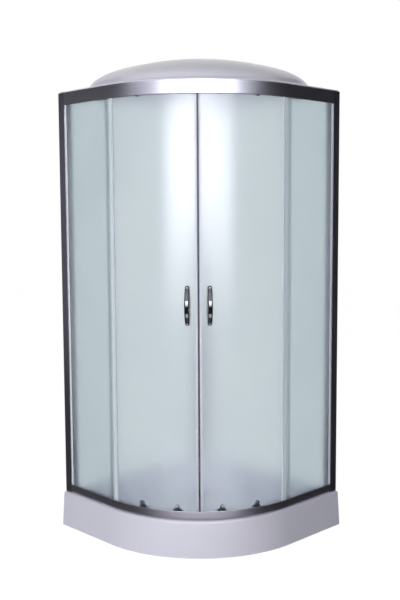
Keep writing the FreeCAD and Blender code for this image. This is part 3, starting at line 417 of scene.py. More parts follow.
# ---------------------------------------------------------------- materials
class Recipe:
    """Node tree of one material, with small helpers for its procedural detail."""

    def __init__(self, name, **settings):
        self.material = bpy.data.materials.new(name)
        self.material.use_nodes = True
        self.nodes = self.material.node_tree.nodes
        self.links = self.material.node_tree.links
        self.shader = next(node for node in self.nodes if node.type == "BSDF_PRINCIPLED")
        self.output = next(node for node in self.nodes if node.type == "OUTPUT_MATERIAL")
        for socket, value in settings.items():
            self.shader.inputs[socket.replace("_", " ")].default_value = value

    def node(self, kind, **values):
        made = self.nodes.new(kind)
        for name, value in values.items():
            setattr(made, name, value)
        return made

    def place(self, stretch=(1, 1, 1)):
        """Position on the object in metres, stretched along each axis."""
        coordinates = self.node("ShaderNodeTexCoord")
        mapping = self.node("ShaderNodeMapping")
        mapping.inputs["Scale"].default_value = stretch
        self.links.new(coordinates.outputs["Object"], mapping.inputs["Vector"])
        return mapping.outputs["Vector"]

    def along_front(self, across, up):
        """Distance from the front's axis and height only, so that marks run along a rail."""
        coordinates = self.node("ShaderNodeTexCoord")
        shift = self.node("ShaderNodeVectorMath", operation="SUBTRACT")
        shift.inputs[1].default_value = AXIS
        split = self.node("ShaderNodeSeparateXYZ")
        flat = self.node("ShaderNodeCombineXYZ")
        radius = self.node("ShaderNodeVectorMath", operation="LENGTH")
        joined = self.node("ShaderNodeCombineXYZ")
        scale = self.node("ShaderNodeVectorMath", operation="MULTIPLY")
        scale.inputs[1].default_value = (across, up, 0)
        self.links.new(coordinates.outputs["Object"], shift.inputs[0])
        self.links.new(shift.outputs["Vector"], split.inputs[0])
        self.links.new(split.outputs["X"], flat.inputs["X"])
        self.links.new(split.outputs["Y"], flat.inputs["Y"])
        self.links.new(flat.outputs["Vector"], radius.inputs[0])
        self.links.new(radius.outputs["Value"], joined.inputs["X"])
        self.links.new(split.outputs["Z"], joined.inputs["Y"])
        self.links.new(joined.outputs["Vector"], scale.inputs[0])
        return scale.outputs["Vector"]

    def noise(self, vector, scale, detail=3.0, roughness=0.5):
        made = self.node("ShaderNodeTexNoise")
        made.inputs["Scale"].default_value = scale
        made.inputs["Detail"].default_value = detail
        made.inputs["Roughness"].default_value = roughness
        self.links.new(vector, made.inputs["Vector"])
        return made.outputs["Fac"]

    def spread(self, value, low, high, start=0.3, end=0.7):
        """A value from one range, by default a noise's usual one, carried to another."""
        made = self.node("ShaderNodeMapRange")
        made.inputs["From Min"].default_value = start
        made.inputs["From Max"].default_value = end
        made.inputs["To Min"].default_value = low
        made.inputs["To Max"].default_value = high
        self.links.new(value, made.inputs["Value"])
        return made.outputs["Result"]

    def colours(self, value, first, second):
        """Colour between two, by a value."""
        made = self.node("ShaderNodeMix", data_type="RGBA")
        made.inputs["A"].default_value = (*first, 1)
        made.inputs["B"].default_value = (*second, 1)
        self.links.new(value, made.inputs["Factor"])
        return made.outputs["Result"]

    def bump(self, value, distance):
        made = self.node("ShaderNodeBump")
        made.inputs["Distance"].default_value = distance
        self.links.new(value, made.inputs["Height"])
        self.links.new(made.outputs["Normal"], self.shader.inputs["Normal"])

    def drive(self, value, socket):
        self.links.new(value, self.shader.inputs[socket])

    def tint(self, value, first, second):
        """Base colour between two, by a value."""
        self.drive(self.colours(value, first, second), "Base Color")


def acrylic():
    """Gloss sanitary acrylic: cool white that drifts slowly in tone, with a fine peel."""
    recipe = Recipe("white_acrylic", Roughness=0.26, Coat_Weight=0.35, Coat_Roughness=0.16)
    tone = recipe.noise(recipe.place(), 2.6, 2.0)
    recipe.tint(recipe.spread(tone, 0, 1, 0.1, 0.9), (0.685, 0.675, 0.775), (0.725, 0.715, 0.805))
    peel = recipe.noise(recipe.place(), 1500.0, 1.0)
    recipe.bump(peel, 0.000004)
    return recipe.material


def satin_aluminium(name, vector_of, base_low, base_high):
    """Anodised extrusion with fine die lines along its length."""
    recipe = Recipe(name, Metallic=1.0, Roughness=0.3)
    vector = vector_of(recipe)
    lines = recipe.noise(vector, 1.0, 4.0, 0.6)
    recipe.tint(recipe.spread(lines, 0, 1), base_low, base_high)
    recipe.drive(recipe.spread(lines, 0.26, 0.38), "Roughness")
    recipe.bump(lines, 0.00002)
    return recipe.material


def rail_aluminium():
    """Die lines that follow the curve of the front."""
    return satin_aluminium("rail_aluminium", lambda recipe: recipe.along_front(900.0, 900.0),
                           (0.50, 0.49, 0.53), (0.60, 0.59, 0.63))


def post_aluminium():
    """Upright die lines, in a darker tone that is painted shade: the posts are the rails'
    aluminium, kept darker for the dark surroundings they reflect.
    """
    # painted shade: these tones sit below the rail's for the same metal
    return satin_aluminium("post_aluminium", lambda recipe: recipe.place((700.0, 700.0, 2.0)),
                           (0.36, 0.35, 0.40), (0.44, 0.43, 0.48))


def frosted_glass(name, tint_low, tint_high, roughness=0.38, coat=1.0):
    """Etched safety glass: light passes scattered, with a fine uneven etch."""
    recipe = Recipe(name, Roughness=roughness, IOR=1.25, Transmission_Weight=1.0,
                    Coat_Weight=coat, Coat_Roughness=0.20, Coat_IOR=1.6)
    cloud = recipe.noise(recipe.place(), 3.0, 2.0)
    recipe.tint(recipe.spread(cloud, 0, 1), tint_low, tint_high)
    etch = recipe.noise(recipe.place(), 60.0, 4.0)
    recipe.drive(recipe.spread(etch, roughness - 0.03, roughness + 0.04), "Roughness")
    grain = recipe.noise(recipe.place(), 2600.0, 2.0)
    recipe.bump(grain, 0.00001)
    return recipe.material


def seal_plastic(name, clearness, roughness, refraction, tint_low, tint_high):
    """Extruded PVC, from milky white to clear."""
    recipe = Recipe(name, Roughness=roughness, IOR=refraction, Transmission_Weight=clearness)
    tone = recipe.noise(recipe.place((60.0, 60.0, 3.0)), 1.0, 3.0)
    recipe.tint(recipe.spread(tone, 0, 1), tint_low, tint_high)
    recipe.bump(tone, 0.000008)
    return recipe.material


def seam_magnet():
    """Dark ferrite strip in the seam. Its dark cap across the seam also paints the shade of the gap
    between the doors.
    """
    recipe = Recipe("magnet_and_gap_shade", Roughness=0.5)
    tone = recipe.noise(recipe.place((60.0, 60.0, 4.0)), 1.0, 3.0)
    recipe.tint(recipe.spread(tone, 0, 1), (0.014, 0.012, 0.026), (0.028, 0.024, 0.045))
    return recipe.material


def chrome():
    """Polished plating with faint smears. Its very dark base colour is painted shade for the dark
    surroundings the handles reflect.
    """
    recipe = Recipe("chrome_painted_dark", Metallic=1.0, Roughness=0.05)
    smear = recipe.noise(recipe.place(), 45.0, 4.0)
    recipe.drive(recipe.spread(smear, 0.03, 0.10), "Roughness")
    # painted shade: a base this dark stands in for the dark studio seen in the handles, not
    # chrome's own colour
    recipe.tint(smear, (0.13, 0.13, 0.14), (0.17, 0.17, 0.18))
    return recipe.material


def coated_zinc():
    """Dark coated casting, with a little of its metal showing."""
    recipe = Recipe("coated_zinc", Metallic=0.35, Roughness=0.42)
    tone = recipe.noise(recipe.place(), 260.0, 4.0)
    recipe.tint(recipe.spread(tone, 0, 1), (0.008, 0.030, 0.042), (0.020, 0.055, 0.070))
    recipe.bump(tone, 0.00003)
    return recipe.material


def galvanised_steel():
    """Zinc coat with its crystals."""
    recipe = Recipe("galvanised_steel", Metallic=0.9, Roughness=0.45)
    crystals = recipe.node("ShaderNodeTexVoronoi")
    crystals.inputs["Scale"].default_value = 120.0
    recipe.links.new(recipe.place(), crystals.inputs["Vector"])
    distance = crystals.outputs["Distance"]
    recipe.tint(distance, (0.52, 0.54, 0.55), (0.33, 0.35, 0.37))
    recipe.drive(recipe.spread(distance, 0.35, 0.6, 0, 1), "Roughness")
    return recipe.material


def plated_steel():
    """Bright screw steel, a little smeared."""
    recipe = Recipe("plated_steel", Metallic=1.0, Roughness=0.25)
    smear = recipe.noise(recipe.place(), 400.0, 3.0)
    recipe.tint(smear, (0.48, 0.48, 0.50), (0.62, 0.62, 0.63))
    recipe.drive(recipe.spread(smear, 0.2, 0.35), "Roughness")
    return recipe.material


def moulded(name, low, high, roughness):
    """Moulded plastic or rubber with a fine spark texture."""
    recipe = Recipe(name, Roughness=roughness)
    tone = recipe.noise(recipe.place(), 40.0, 3.0)
    recipe.tint(recipe.spread(tone, 0, 1), low, high)
    texture = recipe.noise(recipe.place(), 900.0, 3.0)
    recipe.bump(texture, 0.00006)
    return recipe.material


MATERIALS = {
    "white_acrylic": acrylic(),
    "rail_aluminium": rail_aluminium(),
    "post_aluminium": post_aluminium(),
    "door_glass": frosted_glass("door_frosted_glass", (0.86, 0.905, 0.92), (0.89, 0.925, 0.94)),
    # painted shade: the fixed panes are the doors' glass, given a darker tint that paints in the
    # shade they stand in
    "pane_glass": frosted_glass("pane_frosted_glass_shaded", (0.77, 0.845, 0.86), (0.80, 0.865, 0.88)),
    "wall_glass": frosted_glass("wall_frosted_glass", (0.71, 0.77, 0.80), (0.75, 0.80, 0.825),
                                roughness=0.72, coat=0.0),
    "white_pvc": seal_plastic("white_pvc", 0.1, 0.4, 1.4, (0.88, 0.91, 0.95), (0.91, 0.94, 0.98)),
    "edge_pvc": seal_plastic("pale_pvc", 0.5, 0.4, 1.35, (0.88, 0.93, 0.98), (0.91, 0.95, 1.0)),
    "seal_pvc": seal_plastic("milky_pvc", 0.7, 0.45, 1.45, (0.88, 0.90, 0.96), (0.94, 0.955, 1.0)),
    "clear_pvc": seal_plastic("clear_pvc", 0.97, 0.25, 1.25, (0.88, 0.92, 0.96), (0.94, 0.97, 1.0)),
    "magnet": seam_magnet(),
    "chrome": chrome(),
    "zinc_casting": coated_zinc(),
    "galvanised_steel": galvanised_steel(),
    "screw_steel": plated_steel(),
    "trap_plastic": moulded("white_polypropylene", (0.70, 0.70, 0.69), (0.80, 0.80, 0.78), 0.45),
    "foot_plastic": moulded("black_polyamide", (0.012, 0.012, 0.013), (0.03, 0.03, 0.03), 0.5),
    "stop_rubber": moulded("stop_rubber", (0.010, 0.010, 0.010), (0.022, 0.022, 0.022), 0.7),
    "wheel_nylon": moulded("wheel_nylon", (0.045, 0.060, 0.068), (0.070, 0.088, 0.095), 0.35),
}
# The record's slots whose material here has another name
SLOT_MATERIAL = {"satin_aluminium": "rail_aluminium", "frosted_glass": "door_glass"}


def dress_cad_nodes():
    """Give every carried-over node the finish of its slot."""
    slots = {part["node"]: part["material_slot"] for part in frame["record"]["subparts"]}
    for node, piece in frame["nodes"].items():
        slot = slots[node]
        name = SLOT_MATERIAL.get(slot, slot)
        piece.data.materials.clear()
        piece.data.materials.append(MATERIALS[name])


# ---------------------------------------------------------------- tray
def basin_loop(inset, z):
    """Loop round the basin, an inset in from its edge."""
    return plan_loop(BASIN_INSET + inset, REAR_LEDGE + inset, z, BASIN_CORNER, BASIN_CORNER)


def tray_loops():
    """Loops up the outside, over the rim, the basin and its waste hole, and back underneath."""
    loops = [plan_loop(TRAY_SKIN, TRAY_SKIN, 0),
             plan_loop(FOOT_ROUND, FOOT_ROUND, 0),
             plan_loop(FOOT_LEAN, 0, FOOT_ROUND)]
    rim_inset = APRON_FLARE + RIM_ROUND
    rim_start = RIM - RIM_ROUND
    for inset, z in arc_points(rim_inset, rim_start, RIM_ROUND, 180, 90, RIM_STEPS):
        wall = max(0.0, (inset - APRON_FLARE) * WALL_RIM_SHARE)
        loops.append(plan_loop(inset, wall, z))
    loops.append(plan_loop(BASIN_INSET - FRONT_LEDGE_LOOP, REAR_LEDGE - REAR_LEDGE_LOOP, RIM,
                           LEDGE_CORNER, LEDGE_CORNER))
    slope = math.degrees(math.atan2(BASIN_DEPTH, BASIN_DRAFT))
    edge_start = RIM - BASIN_EDGE
    for inset, z in arc_points(-BASIN_EDGE, edge_start, BASIN_EDGE, 90, 90 - slope, SMALL_STEPS):
        loops.append(basin_loop(inset, z))
    floor = RIM - BASIN_DEPTH
    loops.append(basin_loop(BASIN_DRAFT * (1 - BASIN_COVE / BASIN_DEPTH), floor + BASIN_COVE))
    for reach, rise in COVE_POINTS:
        loops.append(basin_loop(BASIN_DRAFT + reach, floor + rise))
    hub = Vector((WASTE_FROM_WALL - HALF_SIDE, HALF_SIDE - WASTE_FROM_WALL, floor))
    loops.append([hub + (point - hub).normalized() * WASTE_HOLE for point in loops[-1]])
    loops.append([point - Vector((0, 0, TRAY_SKIN)) for point in loops[-1]])
    loops.append(basin_loop(BASIN_DRAFT - TRAY_SKIN, floor - TRAY_SKIN))
    loops.append(basin_loop(-TRAY_SKIN, RIM - TRAY_SKIN))
    inner_round = RIM_ROUND - TRAY_SKIN
    for inset, z in arc_points(rim_inset, rim_start, inner_round, 90, 180, SMALL_STEPS):
        loops.append(plan_loop(inset, TRAY_SKIN, z))
    return loops


def make_tray():
    """Tray shell, with a low opening in each of its two wall-side aprons."""
    tray = loops_to_mesh("tray_shell", tray_loops(), MATERIALS["white_acrylic"], closed=True,
                         sharp=SHELL_SHARP)
    near = HALF_SIDE - SKIRT_OPENING_MARGIN
    inside = HALF_SIDE - 2 * TRAY_SKIN
    outside = HALF_SIDE + TRAY_SKIN
    cut_away(tray, (-near, inside, -TRAY_SKIN), (near, outside, SKIRT_OPENING_HEIGHT))
    cut_away(tray, (-outside, -near, -TRAY_SKIN), (-inside, near, SKIRT_OPENING_HEIGHT))
    weigh_normals(tray)
    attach(tray, "root")
    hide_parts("tray")


# ---------------------------------------------------------------- roof
def dome_ring(inset, corner, rise, angle):
    """One ring of the dome, up its quarter ellipse."""
    middle = Vector((DOME_CENTRE - HALF_SIDE, HALF_SIDE - DOME_CENTRE, 0))
    share = math.cos(math.radians(angle))
    height = HEADER_HIGH.z + rise * math.sin(math.radians(angle))
    ring = []
    for point in plan_loop(inset, inset, 0, corner, corner):
        flat = middle + (Vector((point.x, point.y, 0)) - middle) * share
        ring.append(Vector((flat.x, flat.y, height)))
    return ring


def make_roof():
    """Flange, fillet and dome outside, and the dome's hollow inside."""
    base = HEADER_HIGH.z
    rise = ROOF_HIGH.z - base
    top = base + ROOF_FLANGE
    loops = [plan_loop(ROOF_INSET, ROOF_WALL_INSET, base),
             plan_loop(ROOF_INSET, ROOF_WALL_INSET, top - ROOF_EDGE),
             plan_loop(ROOF_INSET + ROOF_EDGE, ROOF_WALL_INSET + ROOF_EDGE, top)]
    for out, up in FILLET_POINTS:
        inset = DOME_INSET - DOME_FILLET * out
        loops.append(plan_loop(inset, inset, top + DOME_FILLET * up, DOME_CORNER, DOME_CORNER))
    first = math.degrees(math.asin((ROOF_FLANGE + DOME_FILLET) / rise))
    for step in range(DOME_STEPS + 1):
        angle = first + (90 - first) * step / DOME_STEPS
        loops.append(dome_ring(DOME_INSET, DOME_CORNER, rise, angle))
    for step in range(DOME_STEPS, -1, -1):
        loops.append(dome_ring(DOME_INSET + ROOF_SKIN, DOME_CORNER - ROOF_SKIN, rise - ROOF_SKIN,
                               90 * step / DOME_STEPS))
    roof = loops_to_mesh("roof_dome", loops, MATERIALS["white_acrylic"], closed=True,
                         sharp=SHELL_SHARP)
    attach(roof, "root")
    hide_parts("roof")


# ---------------------------------------------------------------- rails and posts
def make_header():
    """Header section along the front, with the track that the doors' top wheels roll on."""
    low = HEADER_LOW.z
    top = HEADER_HIGH.z
    outer = HEADER_HIGH.x - AXIS.x
    inner = outer - RAIL_DEPTH
    roof_line = top - RAIL_WALL
    skirt = low + HEADER_SKIRT_TOP_GAP
    rib = outer - PANE_RIB_FROM_FACE
    section = rounded([
        (outer, low, RAIL_EDGE), (outer, top, RAIL_EDGE), (inner, top, RAIL_EDGE),
        (inner, skirt, RAIL_EDGE / 2), (inner + RAIL_WALL, skirt, RAIL_EDGE / 2),
        (inner + RAIL_WALL, roof_line, 0),
        (rib - PANE_RIB, roof_line, 0), (rib - PANE_RIB, roof_line - PANE_RIB_HEIGHT, 0),
        (rib, roof_line - PANE_RIB_HEIGHT, 0), (rib, roof_line, 0),
        (outer - RAIL_WALL, roof_line, 0), (outer - RAIL_WALL, low, RAIL_EDGE / 2)])
    header = swept("header_section", section, front_stations(POST_SIZE),
                   MATERIALS["rail_aluminium"])
    shelf_top = TOP_WHEEL_LOW.z - FLANGE_CLEARANCE
    rib_top = (TOP_WHEEL_LOW.z + TOP_WHEEL_HIGH.z) / 2 - ROLLING_RADIUS
    rib_out = TRACK_RADIUS + TRACK_RIB / 2
    rib_in = TRACK_RADIUS - TRACK_RIB / 2
    loops = []
    for base, outward in curve_stations(-TRACK_END, TRACK_END):
        heading = abs(math.degrees(math.atan2(outward.y, outward.x)) - FRONT)
        edge = inner / math.cos(math.radians(max(0.0, heading - CURVE_HALF)))
        wall = min(edge + RAIL_WALL, rib_in - TRACK_WALL_GAP)
        outline = [(edge, shelf_top - SHELF), (SHELF_EDGE_RADIUS, shelf_top - SHELF),
                   (SHELF_EDGE_RADIUS, shelf_top), (rib_out, shelf_top), (rib_out, rib_top),
                   (rib_in, rib_top), (rib_in, shelf_top), (wall, shelf_top), (wall, skirt),
                   (edge, skirt)]
        loops.append([base + outward * radius + Vector((0, 0, z)) for radius, z in outline])
    track = loops_to_mesh("header_track", loops, MATERIALS["rail_aluminium"], capped=True)
    for piece in (header, track):
        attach(piece, "root")
        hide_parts("header_rail")


def make_bottom_rail():
    """Bottom section along the front, with the rib that guides the doors' lower wheels."""
    low = BOTTOM_RAIL_LOW.z
    top = BOTTOM_RAIL_HIGH.z
    outer = BOTTOM_RAIL_HIGH.x - AXIS.x
    inner = outer - RAIL_DEPTH
    base = low + RAIL_WALL
    lip = low + BOTTOM_LIP_HEIGHT
    rib = outer - PANE_RIB_FROM_FACE
    section = rounded([
        (outer, low, RAIL_ROLL), (inner, low, RAIL_EDGE / 2), (inner, lip, RAIL_EDGE / 2),
        (inner + RAIL_WALL, lip, RAIL_EDGE / 2), (inner + RAIL_WALL, base, 0),
        (rib - PANE_RIB, base, 0), (rib - PANE_RIB, base + PANE_RIB_HEIGHT, 0),
        (rib, base + PANE_RIB_HEIGHT, 0), (rib, base, 0),
        (outer - RAIL_WALL, base, RAIL_ROLL - RAIL_WALL), (outer - RAIL_WALL, top, RAIL_EDGE / 2),
        (outer, top, RAIL_EDGE)], steps=6)
    rail = swept("bottom_rail_section", section, front_stations(POST_SIZE),
                 MATERIALS["rail_aluminium"])
    rib_out = TRACK_RADIUS + TRACK_RIB / 2
    rib_in = TRACK_RADIUS - TRACK_RIB / 2
    rib_top = (BOTTOM_WHEEL_LOW.z + BOTTOM_WHEEL_HIGH.z) / 2 - ROLLING_RADIUS
    section = [(rib_in, base), (rib_out, base), (rib_out, rib_top), (rib_in, rib_top)]
    track = swept("bottom_track", section, curve_stations(-TRACK_END, TRACK_END),
                  MATERIALS["rail_aluminium"])
    for piece in (rail, track):
        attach(piece, "root")
        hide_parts("bottom_rail")


def make_flat_pieces():
    """Extrusions and panels whose own shape is right, given rounded edges."""
    for node in ("wall_post_right", "wall_post_left", "corner_post"):
        softened(node, POST_EDGE, MATERIALS["post_aluminium"])
    for node in ("fixed_pane_right", "fixed_pane_left"):
        softened(node, GLASS_EDGE, MATERIALS["pane_glass"])
    for node in ("back_wall_right", "back_wall_left"):
        softened(node, GLASS_EDGE, MATERIALS["wall_glass"])
    for node, material in (("pane_gaskets", "white_pvc"), ("pane_edge_seals", "edge_pvc")):
        softened(node, SEAL_SKIN / 4, MATERIALS[material])


# ---------------------------------------------------------------- doors
def seam_angle(distance):
    """Seam angle of a distance measured along the middle of the door glass."""
    return math.degrees(distance / (DOOR_OUTER - GLASS / 2))


def upright(name, outline, side, material):
    """Extrusion as tall as the door glass, from an outline of (radius, distance from the seam)."""
    loops = [[AXIS + seam_direction(side * seam_angle(distance)) * radius + Vector((0, 0, z))
              for radius, distance in outline] for z in (DOOR_LOW.z, DOOR_HIGH.z)]
    return loops_to_mesh(name, loops, material, capped=True)


def make_door_glass(name, side):
    """Curved sheet with ground edges."""
    inner = DOOR_OUTER - GLASS
    section = rounded([(inner, DOOR_LOW.z, GLASS_EDGE), (DOOR_OUTER, DOOR_LOW.z, GLASS_EDGE),
                       (DOOR_OUTER, DOOR_HIGH.z, GLASS_EDGE), (inner, DOOR_HIGH.z, GLASS_EDGE)])
    start, end = sorted((side * seam_angle(DOOR_EDGE_GAP), side * DOOR_END))
    glass = swept(f"door_sheet_{name}", section, curve_stations(start, end),
                  MATERIALS["door_glass"])
    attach(glass, f"door_{name}")
    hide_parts(f"door_glass_{name}")


def make_door_seals(name, side):
    """Milky channel and dark magnet strip at the seam, the strip also painting the shade of the gap
    between the doors, and a clear finned channel opposite.
    """
    skin_out = DOOR_OUTER + SEAL_GAP + SEAL_SKIN
    skin_in = DOOR_OUTER - GLASS - SEAL_GAP - SEAL_SKIN
    leg_out = skin_out - SEAL_SKIN
    leg_in = skin_in + SEAL_SKIN
    tip = DOOR_EDGE_GAP - SEAL_GAP - SEAL_SKIN
    web = tip + SEAL_SKIN
    end = DOOR_EDGE_GAP + MAGNET_SEAL_COVER
    lip = SEAL_SKIN / 3
    outline = rounded([(skin_out, tip, SEAL_SKIN / 2), (skin_out, end, lip), (leg_out, end, lip),
                       (leg_out, web, 0), (leg_in, web, 0), (leg_in, end, lip),
                       (skin_in, end, lip), (skin_in, tip, SEAL_SKIN / 2)])
    channel = upright(f"magnet_channel_{name}", outline, side, MATERIALS["seal_pvc"])
    back = DOOR_OUTER - GLASS / 2 - MAGNET_THICKNESS / 2
    cap = skin_out + MAGNET_CAP
    under_cap = skin_out + SEAL_GAP / 2
    # the dark cap over the seam is the magnet and also painted shade of the gap between the doors
    outline = rounded([(back, MAGNET_GAP, lip), (cap, MAGNET_GAP, MAGNET_CAP / 2),
                       (cap, MAGNET_CAP_COVER, MAGNET_CAP / 2), (under_cap, MAGNET_CAP_COVER, 0),
                       (under_cap, tip - SEAL_GAP, 0), (back, tip - SEAL_GAP, 0)])
    magnet = upright(f"magnet_strip_{name}", outline, side, MATERIALS["magnet"])
    edge = math.radians(DOOR_END) * (DOOR_OUTER - GLASS / 2)
    start = edge - TRAIL_SEAL_COVER
    web = edge + SEAL_GAP
    tip = web + SEAL_SKIN
    fin = skin_out + TRAIL_FIN
    outline = rounded([(skin_in, start, lip), (leg_in, start, lip), (leg_in, web, 0),
                       (leg_out, web, 0), (leg_out, start, lip), (skin_out, start, lip),
                       (skin_out, tip - SEAL_SKIN, SEAL_SKIN / 2), (fin, tip - SEAL_SKIN, lip),
                       (fin, tip, lip), (skin_in, tip, lip)])
    trailing = upright(f"trailing_channel_{name}", outline, side, MATERIALS["clear_pvc"])
    for piece, node in ((channel, "magnetic_seal"), (magnet, "magnetic_seal"),
                        (trailing, "trailing_seal")):
        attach(piece, f"door_{name}")
        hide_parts(f"{node}_{name}")


def make_handle(name, side):
    """Cast bow outside the glass and its twin inside: two arcs carry a full oval section."""
    half = (HANDLE_HIGH.z - HANDLE_LOW.z) / 2
    middle = (HANDLE_HIGH.z + HANDLE_LOW.z) / 2
    outward = seam_direction(side * seam_angle(HANDLE_FROM_SEAM))
    along = Vector((-outward.y, outward.x, 0))

    def arch(span, rise, share):
        """Point of an arc that rises over a half span, at a share of its length."""
        radius = (span ** 2 + rise ** 2) / (2 * rise)
        swing = share * math.asin(span / radius)
        return Vector((radius * math.cos(swing) - radius + rise, radius * math.sin(swing)))

    def squared(value):
        """Cosine or sine, pushed out towards a fuller oval."""
        return math.copysign(abs(value) ** (2 / HANDLE_FULLNESS), value)

    for place, foot, direction in (("outer", DOOR_OUTER + HANDLE_GAP, 1),
                                   ("inner", DOOR_OUTER - GLASS - HANDLE_GAP, -1)):
        loops = []
        for step in range(HANDLE_RINGS + 1):
            share = 2 * step / HANDLE_RINGS - 1
            crown = arch(half, HANDLE_REACH, share)
            belly = arch(half - HANDLE_FOOT, HANDLE_REACH - HANDLE_THICKNESS, share)
            centre = (crown + belly) / 2
            reach = (crown - belly) / 2
            loop = []
            for point in range(HANDLE_POINTS):
                angle = 2 * math.pi * point / HANDLE_POINTS
                flat = centre + reach * squared(math.cos(angle))
                sideways = squared(math.sin(angle)) * HANDLE_WIDTH / 2
                loop.append(AXIS + outward * (foot + direction * flat.x) + along * sideways
                            + Vector((0, 0, middle + flat.y)))
            loops.append(loop)
        bow = loops_to_mesh(f"bow_{place}_{name}", loops, MATERIALS["chrome"], capped=True,
                            sharp=BOW_SHARP)
        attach(bow, f"door_{name}")
        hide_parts(f"handle_{name}")


# ---------------------------------------------------------------- camera, lights and floor
def make_camera():
    """Camera at the photograph's viewing angle."""
    data = bpy.data.cameras.new("camera")
    data.lens = CAMERA_LENS
    data.sensor_width = CAMERA_SENSOR
    camera = bpy.data.objects.new("camera", data)
    bpy.context.scene.collection.objects.link(camera)
    turn = (Matrix.Rotation(math.radians(CAMERA_HEADING), 4, "Z")
            @ Matrix.Rotation(math.radians(CAMERA_TILT), 4, "X")
            @ Matrix.Rotation(math.radians(CAMERA_ROLL), 4, "Z"))
    camera.matrix_world = Matrix.Translation(CAMERA_PLACE) @ turn
    bpy.context.scene.camera = camera


def ray_kinds(nodes, links, kinds):
    """1 for rays of any of these kinds, 0 for others."""
    path = nodes.new("ShaderNodeLightPath")
    total = path.outputs[kinds[0]]
    for kind in kinds[1:]:
        joined = nodes.new("ShaderNodeMath")
        joined.operation = "MAXIMUM"
        links.new(total, joined.inputs[0])
        links.new(path.outputs[kind], joined.inputs[1])
        total = joined.outputs[0]
    return total


def make_world():
    """White for the rays that see the background, and a plain grey light on the object."""
    world = bpy.data.worlds.new("studio")
    bpy.context.scene.world = world
    world.use_nodes = True
    nodes = world.node_tree.nodes
    links = world.node_tree.links
    nodes.clear()
    seen = nodes.new("ShaderNodeBackground")
    seen.inputs["Color"].default_value = (1, 1, 1, 1)
    fill = nodes.new("ShaderNodeBackground")
    fill.inputs["Color"].default_value = (0.93, 0.95, 1.0, 1)
    fill.inputs["Strength"].default_value = WORLD_FILL
    mix = nodes.new("ShaderNodeMixShader")
    output = nodes.new("ShaderNodeOutputWorld")
    links.new(ray_kinds(nodes, links, SEEN_RAYS), mix.inputs[0])
    links.new(fill.outputs[0], mix.inputs[1])
    links.new(seen.outputs[0], mix.inputs[2])
    links.new(mix.outputs[0], output.inputs["Surface"])


def make_softbox(name, off_front, low, high, width, power, through_glass):
    """Area light that faces the object. Gloss doesn't see it, and glass may not."""
    data = bpy.data.lights.new(name, "AREA")
    data.shape = "RECTANGLE"
    data.size = width
    data.size_y = high - low
    data.energy = power
    lamp = bpy.data.objects.new(name, data)
    bpy.context.scene.collection.objects.link(lamp)
    lamp.visible_glossy = False
    lamp.visible_transmission = through_glass
    place = seam_direction(off_front) * LAMP_DISTANCE + Vector((0, 0, (low + high) / 2))
    turn = (LAMP_AIM - place).to_track_quat("-Z", "Y").to_matrix().to_4x4()
    lamp.matrix_world = Matrix.Translation(place) @ turn


def make_backdrop(name, loops, peak, fade, rise, dim, tint, turn=0.0):
    """Glowing studio cloth that only glossy rays meet, bright ahead of the doors and dim beside
    them: it lights nothing and shows only as reflections in the glass, rails and handles.

    It has its peak at a turn off the front, fades out between two angles off that, and rises from
    nothing between two heights. A dim tone is added, from its left-hand to its right-hand value.
    """
    bm = bmesh.new()
    rows = [[bm.verts.new(point) for point in row] for row in loops]
    for first, second in zip(rows, rows[1:]):
        for i in range(len(first) - 1):
            bm.faces.new((first[i], first[i + 1], second[i + 1], second[i]))
    mesh = bpy.data.meshes.new(name)
    bm.to_mesh(mesh)
    bm.free()
    recipe = Recipe(f"{name}_cloth")
    split = recipe.node("ShaderNodeSeparateXYZ")
    recipe.links.new(recipe.place(), split.inputs[0])

    def math_node(operation, first, second=None, third=None):
        made = recipe.node("ShaderNodeMath", operation=operation)
        for socket, value in zip(made.inputs, (first, second, third)):
            if isinstance(value, float):
                socket.default_value = value
            elif value is not None:
                recipe.links.new(value, socket)
        return made.outputs[0]

    compass = math_node("ARCTAN2", split.outputs["Y"], split.outputs["X"])
    heading = math_node("SUBTRACT", compass, math.radians(FRONT))
    away = math_node("ABSOLUTE", math_node("SUBTRACT", heading, math.radians(turn)))
    middle = recipe.spread(away, 1, 0, *(math.radians(angle) for angle in fade))
    height = recipe.spread(split.outputs["Z"], 0, 1, *rise)
    ends = recipe.spread(heading, *dim, math.radians(-DIM_SPAN), math.radians(DIM_SPAN))
    strength = math_node("MULTIPLY_ADD", math_node("MULTIPLY", middle, height), peak, ends)
    glow = recipe.node("ShaderNodeEmission")
    glow.inputs["Color"].default_value = (*tint, 1)
    recipe.links.new(strength, glow.inputs["Strength"])
    recipe.links.new(glow.outputs[0], recipe.output.inputs["Surface"])
    cloth = new_object(name, mesh, recipe.material)
    cloth.visible_camera = False
    cloth.visible_diffuse = False
    cloth.visible_transmission = False
    cloth.visible_shadow = False


def ring_points(radius, z):
    """Points round the front of the object, at a radius and height."""
    angles = range(-BACKDROP_SPAN, BACKDROP_SPAN + 1, BACKDROP_STEP)
    return [seam_direction(angle) * radius + Vector((0, 0, z)) for angle in angles]


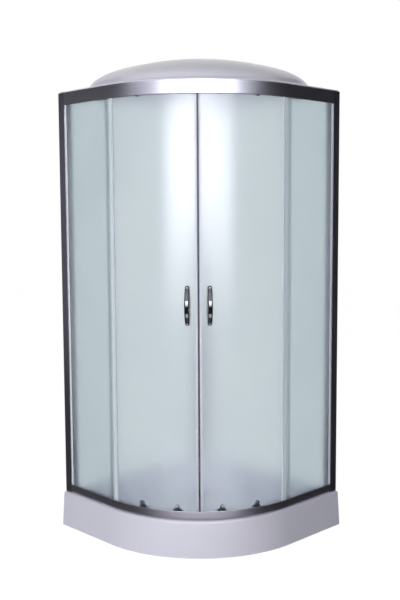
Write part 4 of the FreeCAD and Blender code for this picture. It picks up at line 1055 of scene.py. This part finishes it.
def make_backdrops():
    """Two cloths, one above the other, as a curved wall, and three rings of cloth on the floor."""
    wall = [ring_points(BACKDROP_RADIUS, z) for z in BACKDROP_HEIGHTS]
    ground = [ring_points(radius, GROUND_HEIGHT) for radius in GROUND_RADII]
    make_backdrop("studio_wall_low", wall[:2], peak=9.0, fade=(26, 37), rise=(0.35, 1.7),
                  dim=(0.19, 0.03), tint=LILAC)
    make_backdrop("studio_wall_high", wall[1:], peak=1.5, fade=(49, 69), rise=(0.0, 0.1),
                  dim=(0.02, 0.0), tint=PALE_BLUE, turn=-6.0)
    make_backdrop("studio_ground_near", ground[:2], peak=0.33, fade=(12, 52), rise=NO_RISE,
                  dim=(0.06, 0.02), tint=LILAC)
    make_backdrop("studio_ground_mid", ground[1:3], peak=2.4, fade=(22, 42), rise=NO_RISE,
                  dim=(0.06, 0.02), tint=LILAC)
    make_backdrop("studio_ground_far", ground[2:], peak=0.05, fade=(12, 52), rise=NO_RISE,
                  dim=(0.05, 0.03), tint=LILAC)


def make_floor():
    """Pale floor that glows for the rays that see the background, and takes the shadow."""
    mesh = bpy.data.meshes.new("floor")
    corners = [(x * FLOOR_REACH, y * FLOOR_REACH, 0)
               for x, y in ((-1, -1), (1, -1), (1, 1), (-1, 1))]
    mesh.from_pydata(corners, [], [(0, 1, 2, 3)])
    recipe = Recipe("floor_white", Base_Color=(0.8, 0.8, 0.8, 1), Roughness=0.9)
    recipe.shader.inputs["Specular IOR Level"].default_value = 0.1
    glow = recipe.node("ShaderNodeEmission")
    glow.inputs["Strength"].default_value = FLOOR_WHITE
    mix = recipe.node("ShaderNodeMixShader")
    share = recipe.node("ShaderNodeMath", operation="MULTIPLY")
    share.inputs[1].default_value = FLOOR_GLOW
    recipe.links.new(ray_kinds(recipe.nodes, recipe.links, SEEN_RAYS), share.inputs[0])
    recipe.links.new(share.outputs[0], mix.inputs[0])
    recipe.links.new(recipe.shader.outputs[0], mix.inputs[1])
    recipe.links.new(glow.outputs[0], mix.inputs[2])
    recipe.links.new(mix.outputs[0], recipe.output.inputs["Surface"])
    floor = new_object("floor", mesh, recipe.material)


make_camera()
make_world()
make_floor()
for softbox in SOFTBOXES:
    make_softbox(*softbox)
make_backdrops()
dress_cad_nodes()
make_tray()
make_roof()
make_header()
make_bottom_rail()
make_flat_pieces()
for side_name, side_sign in SIDES:
    make_door_glass(side_name, side_sign)
    make_door_seals(side_name, side_sign)
    make_handle(side_name, side_sign)

bpy.context.scene.view_settings.view_transform = "Standard"
